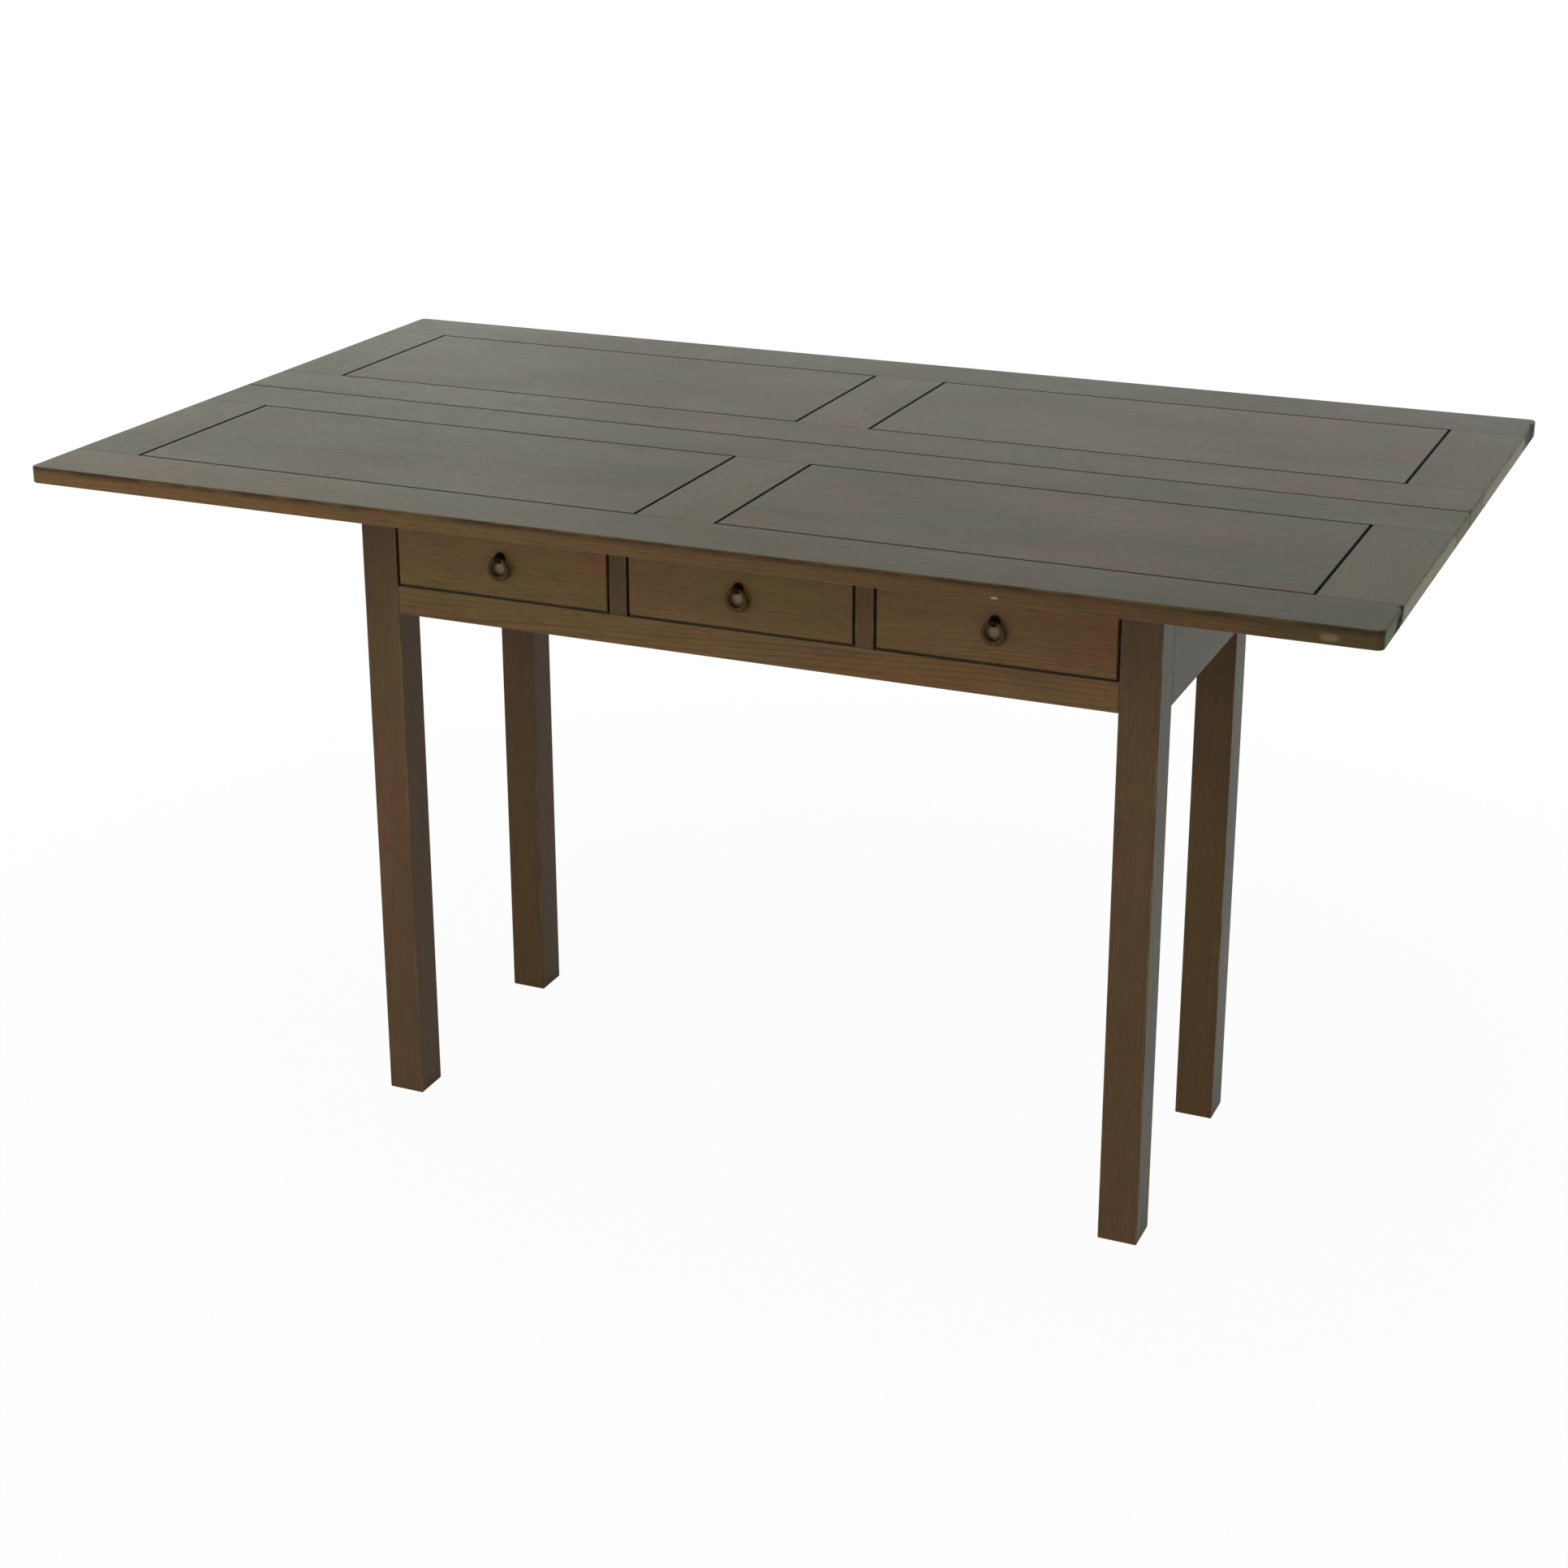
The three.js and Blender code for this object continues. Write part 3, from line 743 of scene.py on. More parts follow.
TOP_WOOD = Wood(
    slot="top_wood",
    plain=stain("584228"),
    late=stain("3c2c1a"),
    pore=stain("251b10"),
    ruddy=stain("663e28"),
    olive=stain("4c4428"),
    worn=stain("7a603b"),
    # Near black: pooled stain and painted shade in the grooves.
    pool=stain("0d0a07"),
    ring_pitch=4.2 * MM,
    ring_strength=0.26,
    cloud_strength=0.65,
    fibre_strength=0.28,
    mottle=0.4,
    # The top and end tints are painted sheen, the lip is painted shade.
    weathered=(0.68, 0.87, 0.80, 1.0),
    bleached=(2.1, 3.0, 4.2, 1.0),
    lip=0.8,
    wear=0.2,
    end_shade=0.12,
    gloss=0.065,
    veil=0.15,
)
PANEL_WOOD = Wood(
    slot="panel_wood",
    plain=stain("5b442a"),
    late=stain("3e2d1b"),
    pore=stain("271c11"),
    ruddy=stain("6b4029"),
    olive=stain("4d4829"),
    worn=stain("785f3b"),
    pool=stain("0d0a07"),
    ring_strength=0.36,
    cloud_strength=0.65,
    fibre_strength=0.28,
    mottle=0.25,
    # Painted sheen on the top face.
    weathered=(0.62, 0.79, 0.72, 1.0),
    end_shade=0.12,
    gloss=0.065,
    veil=0.15,
)
FRAME_WOOD = Wood(
    slot="frame_wood",
    plain=stain("513d27"),
    late=stain("3d2b19"),
    pore=stain("261a0f"),
    ruddy=stain("5f3d2a"),
    olive=stain("514224"),
    worn=stain("7a5f3c"),
    ring_strength=0.26,
    fibre_strength=0.28,
    mottle=0.35,
    # Painted sheen on the outer end faces.
    bleached=(0.95, 1.25, 1.5, 1.0),
    gloss=0.12,
    veil=0.15,
)
FRONT_WOOD = Wood(
    slot="front_wood",
    plain=stain("634b2d"),
    late=stain("46331b"),
    pore=stain("2b1f11"),
    ruddy=stain("6a4428"),
    olive=stain("604e27"),
    worn=stain("7b6039"),
    ring_strength=0.36,
    cloud_strength=0.85,
    cloud_scale=(8.0, 14.0),
    fibre_strength=0.26,
    mottle=0.5,
)
INNER_WOOD = Wood(
    slot="inner_wood",
    plain=stain("8f7750"),
    late=stain("6f5937"),
    pore=stain("54422a"),
    ruddy=stain("977450"),
    olive=stain("8a7a52"),
    worn=stain("a58e66"),
    wear=0.2,
    roughness=0.62,
    gloss=0.25,
    veil=0.02,
)
# Dark patina, and painted shade: the post is kept near black, darker than its ring, for the shade round
# its eye.
DARK_BRONZE = Metal(
    slot="dark_bronze",
    fresh=stain("3d301c"),
    patina=stain("231a10"),
    rubbed_share=0.3,
    roughness=0.5,
    metallic=0.6,
    gloss=0.12,
    edge=(0.45, 0.36, 0.24, 1.0),
)
RUBBED_BRONZE = replace(
    DARK_BRONZE,
    fresh=stain("655036"),
    patina=stain("483923"),
    rubbed_share=0.4,
    roughness=0.58,
    metallic=0.4,
)
HINGE_STEEL = Metal(
    slot="hinge_steel",
    fresh=stain("a49a88"),
    patina=stain("6f675a"),
    rubbed_share=0.5,
    roughness=0.38,
)

# Marks of use on the leaves

NICK = stain("9a8463")
SMEAR = stain("1f1811")
CHAR = stain("060403")
SEAM = Mark((0, 0, 775), (2400, 2.6, 60), SMEAR, 0.8)
LEAF_MARKS = {
    Half.MAIN: (
        Mark((353.5, -400, 762), (5, 3, 1.8), NICK, 0.7),
        Mark((653.7, -400, 763.8), (12, 3, 5), NICK, 0.25),
        Mark((700, -326, 770), (6, 9, 12), CHAR),
        Mark((700, -338, 765), (6, 15, 9), CHAR),
        Mark((700, -346, 759), (6, 12, 7), CHAR, 0.9),
        SEAM,
    ),
    Half.FOLD: (
        Mark((631, 317, 775), (5, 2.5, 2), stain("a08a55"), 0.6),
        Mark((699.4, 6.9, 775), (3, 4, 3), SMEAR, 0.6),
        Mark((700, 372, 770), (6, 16, 9), SMEAR, 0.9),
        Mark((700, 366, 760), (6, 16, 8), SMEAR, 0.8),
        Mark((700, 355, 765), (6, 30, 14), SMEAR, 0.5),
        SEAM,
    ),
}


# Meshes

def object_of(name: str, mesh: bpy.types.Mesh) -> Object:
    """Link a new object that shows a mesh.

    Args:
        name: The piece's name.
        mesh: Its mesh, already in place.

    Returns:
        The object, at the origin.
    """
    made = bpy.data.objects.new(name, mesh)
    bpy.context.scene.collection.objects.link(made)
    return made


def mesh_from(name: str, draft: Draft) -> bpy.types.Mesh:
    """Turn a draft into a smooth mesh with sharp creases, and free the draft.

    Args:
        name: The mesh's name.
        draft: The shape.

    Returns:
        The mesh.
    """
    mesh = bpy.data.meshes.new(name)
    draft.to_mesh(mesh)
    draft.free()
    mesh.shade_smooth()
    mesh.set_sharp_from_angle(angle=SMOOTH_ANGLE)
    return mesh


def settle(piece: Object) -> Object:
    """Bake a piece's modifiers into its mesh and remove them.

    Args:
        piece: An object with modifiers.

    Returns:
        The same object, with a plain mesh.
    """
    depsgraph = bpy.context.evaluated_depsgraph_get()
    source = piece.evaluated_get(depsgraph)
    mesh = bpy.data.meshes.new_from_object(source, preserve_all_data_layers=True, depsgraph=depsgraph)
    piece.modifiers.clear()
    piece.data = mesh
    return piece


def eased_copy(node: Object, name: str, ease: float) -> Object:
    """Copy a frame node as one welded body and ease its outer arrises.

    Args:
        node: The node's object, whose mesh is loose triangles.
        name: The new piece's name.
        ease: How wide the eased arris is, in metres.

    Returns:
        The new piece.
    """
    draft = bmesh.new()
    draft.from_mesh(node.data)
    bmesh.ops.remove_doubles(draft, verts=draft.verts, dist=MERGE_DISTANCE)
    bmesh.ops.dissolve_limit(
        draft, angle_limit=FLAT_ANGLE, verts=draft.verts, edges=draft.edges, delimit=set()
    )
    arrises = [
        edge
        for edge in draft.edges
        if edge.is_manifold and edge.is_convex and edge.calc_face_angle() > ARRIS_ANGLE
    ]
    bmesh.ops.bevel(
        draft, geom=arrises, offset=ease, segments=2, profile=0.5, affect="EDGES", clamp_overlap=True
    )
    bmesh.ops.triangulate(draft, faces=[face for face in draft.faces if len(face.verts) > 4])
    piece = object_of(name, mesh_from(name, draft))
    piece.modifiers.new("weighting", "WEIGHTED_NORMAL").keep_sharp = True
    return settle(piece)


def turned(profile: Iterable[Pair], steps: int) -> Draft:
    """Turn a profile on a lathe whose axis is y.

    Args:
        profile: Pairs of a radius and a place along the axis, from end to end.
        steps: Facets round the axis.

    Returns:
        A closed draft whose faces point out.
    """
    draft = bmesh.new()
    points = [draft.verts.new((radius, place, 0.0)) for radius, place in profile]
    edges = [draft.edges.new(pair) for pair in zip(points, points[1:])]
    bmesh.ops.spin(
        draft, geom=[*points, *edges], axis=(0, 1, 0), steps=steps, angle=math.tau, use_merge=True
    )
    bmesh.ops.remove_doubles(draft, verts=draft.verts, dist=MERGE_DISTANCE)
    bmesh.ops.recalc_face_normals(draft, faces=draft.faces)
    return draft


# Geometry Nodes

class Recipe(Wiring):
    """A Geometry Nodes tree that sets a shape on points, with named sizes."""

    def __init__(self, name: str, sizes: Iterable[str], counts: Iterable[str] = ()) -> None:
        """Start a tree with its sockets.

        Args:
            name: The tree's name.
            sizes: The names of its sizes.
            counts: The names of its whole numbers.
        """
        super().__init__(bpy.data.node_groups.new(name, "GeometryNodeTree"))
        kinds = {"Geometry": "Geometry", **dict.fromkeys(sizes, "Float")}
        kinds |= {**dict.fromkeys(counts, "Int"), "Turn": "Vector", "Finish": "Material"}
        face = self.tree.interface
        face.new_socket("Geometry", in_out="OUTPUT", socket_type="NodeSocketGeometry")
        for size, kind in kinds.items():
            face.new_socket(size, in_out="INPUT", socket_type=f"NodeSocket{kind}")
        self.given = self.node("NodeGroupInput")

    def size(self, name: str) -> Wire:
        """Return one of the named sizes."""
        return self.out(self.given, name)

    def moved(self, shape: Wire, x: Value, y: Value, z: Value) -> Wire:
        """Return a shape that is moved."""
        inputs = {"Geometry": shape, "Translation": self.joined(x, y, z)}
        return self.wire("GeometryNodeTransform", inputs)

    def cut(self, shape: Wire, cutters: list[Wire]) -> Wire:
        """Return a shape less its cutters."""
        inputs = {"Mesh 1": shape, "Mesh 2": cutters}
        return self.wire("GeometryNodeMeshBoolean", inputs, operation="DIFFERENCE")

    def disc(self, sides: int, radius: Value, depth: Value) -> Wire:
        """Return a disc round the z axis."""
        inputs = {"Vertices": sides, "Radius": radius, "Depth": depth}
        return self.wire("GeometryNodeMeshCylinder", inputs)

    def circle(self, steps: Value, radius: Value) -> Wire:
        """Return a circle as a curve."""
        inputs = {"Resolution": steps, "Radius": radius}
        return self.wire("GeometryNodeCurvePrimitiveCircle", inputs)

    def finish(self, shape: Wire, spin: Wire | None = None) -> None:
        """End the tree: the shape on every point, as real geometry with its material.

        Args:
            shape: The shape, before its turn.
            spin: How far each one is turned round its own z axis, if it is.
        """
        inputs = {"Points": self.size("Geometry"), "Instance": shape, "Rotation": self.size("Turn")}
        placed = self.wire("GeometryNodeInstanceOnPoints", inputs)
        if spin is not None:
            inputs = {"Instances": placed, "Rotation": self.joined(0.0, 0.0, spin)}
            placed = self.wire("GeometryNodeRotateInstances", inputs)
        real = self.wire("GeometryNodeRealizeInstances", {0: placed})
        inputs = {"Geometry": real, "Material": self.size("Finish")}
        self.node("NodeGroupOutput", {0: self.wire("GeometryNodeSetMaterial", inputs)})

    def make(self, name: str, points: Points, values: Mapping[str, Any]) -> Object:
        """Run the tree on a few points and keep the plain mesh.

        Args:
            name: The piece's name.
            points: Where the repeated shape stands, in the frame's axes.
            values: A value for each named size.

        Returns:
            The new piece.
        """
        seat = bpy.data.meshes.new(name)
        seat.from_pydata([tuple(point) for point in points], [], [])
        piece = object_of(name, seat)
        modifier = piece.modifiers.new("recipe", "NODES")
        modifier.node_group = self.tree
        for item in self.tree.interface.items_tree:
            if item.item_type == "SOCKET" and item.in_out == "INPUT" and item.name in values:
                modifier[item.identifier] = values[item.name]
        settle(piece)
        piece.data.set_sharp_from_angle(angle=SMOOTH_ANGLE)
        return piece


def screw_recipe(facets: int = 28) -> Recipe:
    """Build the tree of countersunk cross-head screws, whose heads face +z before the turn.

    Args:
        facets: Facets round a head.

    Returns:
        The tree.
    """
    sizes = ("Head radius", "Shank radius", "Head depth", "Cross length", "Cross width")
    recipe = Recipe("countersunk_screws", sizes, ("Seed",))
    top, bottom, depth, length, width = (recipe.size(size) for size in sizes)
    cone = {"Vertices": facets, "Radius Top": top, "Radius Bottom": bottom, "Depth": depth}
    head = recipe.wire("GeometryNodeMeshCone", cone)
    cutters = []
    for size in (recipe.joined(length, width, depth), recipe.joined(width, length, depth)):
        blade = recipe.wire("GeometryNodeMeshCube", {"Size": size})
        cutters.append(recipe.moved(blade, 0.0, 0.0, depth))
    inputs = {"Max": math.tau, "Seed": recipe.size("Seed")}
    spin = recipe.wire("FunctionNodeRandomValue", inputs, "Value", data_type="FLOAT")
    recipe.finish(recipe.moved(recipe.cut(head, cutters), 0.0, 0.0, -depth), spin)
    return recipe


def nut_recipe(washer_facets: int = 40, nut_sides: int = 6, bore_facets: int = 32) -> Recipe:
    """Build the tree of a washer with a hexagon nut on it, on an axis along z before the turn.

    Args:
        washer_facets: Facets round the washer.
        nut_sides: Sides of the nut.
        bore_facets: Facets round the bores.

    Returns:
        The tree.
    """
    sizes = ("Bore radius", "Nut radius", "Nut thickness", "Washer radius", "Washer thickness")
    recipe = Recipe("nuts_and_washers", sizes)
    bore, nut, nut_thickness, washer, washer_thickness = (recipe.size(size) for size in sizes)
    layers = []
    for sides, radius, thickness, base in (
        (washer_facets, washer, washer_thickness, 0.0),
        (nut_sides, nut, nut_thickness, washer_thickness),
    ):
        disc = recipe.disc(sides, radius, thickness)
        layer = recipe.cut(disc, [recipe.disc(bore_facets, bore, thickness * 3.0)])
        layers.append(recipe.moved(layer, 0.0, 0.0, thickness * 0.5 + base))
    recipe.finish(recipe.wire("GeometryNodeJoinGeometry", {0: layers}))
    return recipe


def ring_recipe(dent_scale: float = 260.0, dent_level: float = 0.6) -> Recipe:
    """Build the tree of a pull's ring: thin in its eye, thick below and drawn in at the top.

    Args:
        dent_scale: Dents per metre of its uneven surface.
        dent_level: The noise that leaves the surface where it was.

    Returns:
        The tree.
    """
    sizes = ("Ring radius", "Wire at top", "Wire at foot", "Narrowing", "Unevenness")
    recipe = Recipe("swept_ring", sizes, ("Steps along", "Steps round"))
    radius, top, foot, narrowing, unevenness = (recipe.size(size) for size in sizes)
    circle = recipe.circle(recipe.size("Steps along"), radius)
    x, y, z = recipe.parts(recipe.wire("GeometryNodeInputPosition"))
    height = y / radius * 0.5 + 0.5
    inputs = {"Geometry": circle, "Position": recipe.joined(x * (1.0 - narrowing * height * height), y, z)}
    drawn = recipe.wire("GeometryNodeSetPosition", inputs)
    profile = recipe.circle(recipe.size("Steps round"), 1.0)
    inputs = {"Curve": drawn, "Profile Curve": profile, "Scale": foot + (top - foot) * height}
    swept = recipe.wire("GeometryNodeCurveToMesh", inputs)
    dents = recipe.noise(recipe.wire("GeometryNodeInputPosition"), dent_scale, 1.0)
    push = recipe.scaled(recipe.wire("GeometryNodeInputNormal"), (dents - dent_level) * unevenness)
    uneven = recipe.wire("GeometryNodeSetPosition", {"Geometry": swept, "Offset": push})
    smooth = recipe.wire("GeometryNodeSetShadeSmooth", {"Geometry": uneven})
    recipe.finish(recipe.moved(smooth, 0.0, -radius, 0.0))
    return recipe


# Pieces of the table

@dataclass
class Screws:
    """The countersunk screws of the table, all of one kind in a few sizes."""

    recipe: Recipe
    finish: Material
    seed: int = 7
    shank_share: float = 0.5
    depth_share: float = 0.62
    cross_share: float = 1.15
    slot_share: float = 0.24

    def drive(self, name: str, points: Points, head: float, turn: Triple) -> Object:
        """Set screws on points, each with its cross at its own angle.

        Args:
            name: The piece's name.
            points: The middle of each head's face.
            head: The radius of a head.
            turn: The turn from heads up to the way that the heads face.

        Returns:
            The screws as one piece.
        """
        self.seed += 1
        values = {
            "Head radius": head,
            "Shank radius": head * self.shank_share,
            "Head depth": head * self.depth_share,
            "Cross length": head * self.cross_share,
            "Cross width": head * self.slot_share,
            "Turn": turn,
            "Seed": self.seed,
            "Finish": self.finish,
        }
        return self.recipe.make(name, points, values)


@dataclass
class Assembly:
    """Pieces of the table that ride on one body of the frame."""

    nodes: Mapping[str, Object]
    screws: Screws
    body: str
    ease: float = 0.7 * MM
    screw_head: float = 3 * MM

    def build(self) -> None:
        """Make and dress every piece."""
        raise NotImplementedError

    def saw(self, board: Board, wood: Wood) -> None:
        """Make one board as an eased copy of its node, in its own piece of wood.

        Args:
            board: The piece of wood and how it was sawn.
            wood: Its finish.
        """
        piece = eased_copy(self.nodes[board.node], f"{board.node}_wood", self.ease)
        piece.data.materials.clear()
        piece.data.materials.append(BoardShader(wood, board).dress())
        self.hang(piece, wood.slot, board.node)

    def hang(self, piece: Object, slot: str, *stands_for: str) -> None:
        """Let a finished piece ride on the body and report it.

        Args:
            piece: The piece, in place.
            slot: Not used.
            stands_for: The frame nodes that it replaces.
        """
        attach(piece, self.body)
        if stands_for:
            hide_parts(*stands_for)
        LOG.info("%s on %s, %d faces", piece.name, self.body, len(piece.data.polygons))

    def screw(self, name: str, points: Points, turn: Triple) -> None:
        """Drive screws of this assembly's size, which then ride with it."""
        self.hang(self.screws.drive(name, points, self.screw_head, turn), HINGE_STEEL.slot)

    def plate(self, node: str, finish: Material) -> None:
        """Give a node of the frame that is kept a better material.

        Args:
            node: The node's name.
            finish: Its new material.
        """
        mesh = self.nodes[node].data
        for index in range(len(mesh.materials)):
            mesh.materials[index] = finish
        LOG.info("%s keeps its shape", node)


def drawer_gap(place: Place, width: float = 1 * MM) -> Groove:
    """Return the gap round one drawer front, with pooled stain and painted shade in and beside it."""
    return Groove(f"{place}_drawer_front", -width, width, width, 2.6 * MM, 0.85, across=2)


@dataclass
class Base(Assembly):
    """The narrow base: legs, rails, dividers, aprons, runners and slide guides."""

    body: str = "frame"
    screw_head: float = 3.6 * MM
    screw_rise: float = 0.1 * MM
    screw_lift: float = 9 * MM
    screw_shares: tuple[float, ...] = (0.2, 0.5, 0.8)

    def build(self) -> None:
        """Make the base from the legs inwards."""
        gaps = tuple(drawer_gap(place) for place in Place)
        for side, gap in zip(SIDES, (gaps[0], gaps[-1])):
            front = Board(f"leg_front_{side}", Grain.ALONG_Z, Cut.RIFT, grooves=(gap,))
            self.saw(front, FRAME_WOOD)
            self.saw(Board(f"leg_rear_{side}", Grain.ALONG_Z, Cut.RIFT), FRAME_WOOD)
        for height in ("lower", "upper"):
            rail = Board(f"front_{height}_rail", Grain.ALONG_X, Cut.RIFT, grooves=gaps)
            self.saw(rail, FRONT_WOOD)
        self.saw(Board("rear_apron", Grain.ALONG_X), FRAME_WOOD)
        for side, beside in zip(SIDES, (gaps[:2], gaps[1:])):
            self.saw(Board(f"divider_{side}", Grain.ALONG_Z, Cut.QUARTER, grooves=beside), FRAME_WOOD)
            self.saw(Board(f"side_apron_{side}", Grain.ALONG_Y), FRAME_WOOD)
            for name in (f"runner_inner_{side}", f"runner_outer_{side}", f"slide_guide_{side}"):
                self.saw(Board(name, Grain.ALONG_Y, Cut.RIFT), INNER_WOOD)
        self.screw_runners()

    def screw_runners(self) -> None:
        """Screw the outer runners to the side aprons."""
        for sign, side in zip((-1, 1), SIDES):
            low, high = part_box(f"runner_outer_{side}")
            x = (low.x if sign > 0 else high.x) - sign * self.screw_rise
            z = low.z + self.screw_lift
            points = [(x, low.y + (high.y - low.y) * share, z) for share in self.screw_shares]
            self.screw(f"runner_screws_{side}", points, (0.0, -sign * QUARTER_TURN, 0.0))


@dataclass
class Leaf(Assembly):
    """One leaf of the top: grooved rails, stiles and floating panels, with its hinge barrels."""

    leaf: Half = Half.MAIN
    hinge_finish: Material | None = None
    staves: int = 3
    edge_drift: float = -0.6
    ease: float = 0.35 * MM

    def build(self) -> None:
        """Make the rails, the stiles and the panels."""
        grooves = tuple(Groove(f"{self.leaf}_panel_{side}") for side in SIDES)
        marks = LEAF_MARKS[self.leaf]
        for part, drift in (("outer_rail", self.edge_drift), ("seam_rail", 0.0)):
            rail = Board(f"{self.leaf}_{part}", Grain.ALONG_X, grooves=grooves, marks=marks)
            rail.drift = drift
            self.saw(rail, TOP_WOOD)
        middle = Board(f"{self.leaf}_middle_stile", Grain.ALONG_Y, Cut.RIFT, grooves=grooves)
        self.saw(middle, TOP_WOOD)
        for side, groove in zip(SIDES, grooves):
            stile = Board(f"{self.leaf}_end_stile_{side}", Grain.ALONG_Y, Cut.RIFT, marks=marks)
            stile.grooves = (groove,)
            self.saw(stile, TOP_WOOD)
            panel = Board(groove.panel, Grain.ALONG_X, Cut.FLAT, self.staves, grooves=(groove,))
            self.saw(panel, PANEL_WOOD)
        for place in Place:
            self.plate(f"{self.leaf}_hinge_barrel_{place}", self.hinge_finish)


@dataclass
class SlideCarriage(Assembly):
    """The carriage under the main leaf that runs in the base's guides."""

    body: str = "main_leaf"
    half_width: float = 35 * MM
    screw_head: float = 4.2 * MM
    screw_inset: float = 16 * MM
    counterbore: float = 14 * MM
    bite: float = 0.8 * MM

    def build(self) -> None:
        """Make the carriage and screw it to the leaf, through its counterbores."""
        self.saw(Board("slide_carriage", Grain.ALONG_Y, Cut.RIFT), INNER_WOOD)
        low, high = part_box("slide_carriage")
        x, z = self.half_width - self.screw_inset, low.z + self.counterbore - self.bite
        rows = (low.y + self.screw_inset, high.y - self.screw_inset)
        points = [(sign * x, y, z) for sign in (-1, 1) for y in rows]
        self.screw("carriage_screws", points, (math.pi, 0.0, 0.0))


@dataclass
class Drawer(Assembly):
    """A dovetailed drawer with a stained front."""

    place: Place = Place.MIDDLE
    screw_rise: float = 0.1 * MM
    screw_margin: float = 40 * MM
    # A pale spot behind the ring: rubbed varnish and a painted highlight in the ring's shadow.
    knock_offset: Pair = (-1.5, -12)
    knock_reach: Triple = (8, 3, 8.5)
    knock_colour: Colour = stain("8f8470")
    knock_strength: float = 0.6

    def build(self) -> None:
        """Make the front, the sides, the back and the bottom."""
        front = Board(f"{self.place}_drawer_front", Grain.ALONG_X)
        front.grooves = (drawer_gap(self.place),)
        front.marks = (self.knock(front),)
        self.saw(front, FRONT_WOOD)
        for side in SIDES:
            name = f"{self.place}_drawer_{side}_side"
            self.saw(Board(name, Grain.ALONG_Y, Cut.RIFT), INNER_WOOD)
        self.saw(Board(f"{self.place}_drawer_back", Grain.ALONG_X, Cut.RIFT), INNER_WOOD)
        self.saw(Board(f"{self.place}_drawer_bottom", Grain.ALONG_X), INNER_WOOD)
        self.screw_bottom()

    def knock(self, front: Board) -> Mark:
        """Return the pale spot on the front inside the ring: varnish rubbed by the ring, and a painted
        highlight that lifts the ring's shadow.

        Args:
            front: The drawer front.

        Returns:
            The spot, in millimetres like every mark.
        """
        middle = (front.low + front.high) / 2 / MM
        x, z = self.knock_offset
        place = (middle.x + x, front.low.y / MM, middle.z + z)
        return Mark(place, self.knock_reach, self.knock_colour, self.knock_strength)

    def screw_bottom(self) -> None:
        """Screw the bottom up into the drawer's back."""
        low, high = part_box(f"{self.place}_drawer_bottom")
        back_low, back_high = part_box(f"{self.place}_drawer_back")
        y, z = (back_low.y + back_high.y) / 2, low.z - self.screw_rise
        ends = (low.x + self.screw_margin, (low.x + high.x) / 2, high.x - self.screw_margin)
        self.screw(f"{self.place}_bottom_screws", [(x, y, z) for x in ends], (math.pi, 0.0, 0.0))


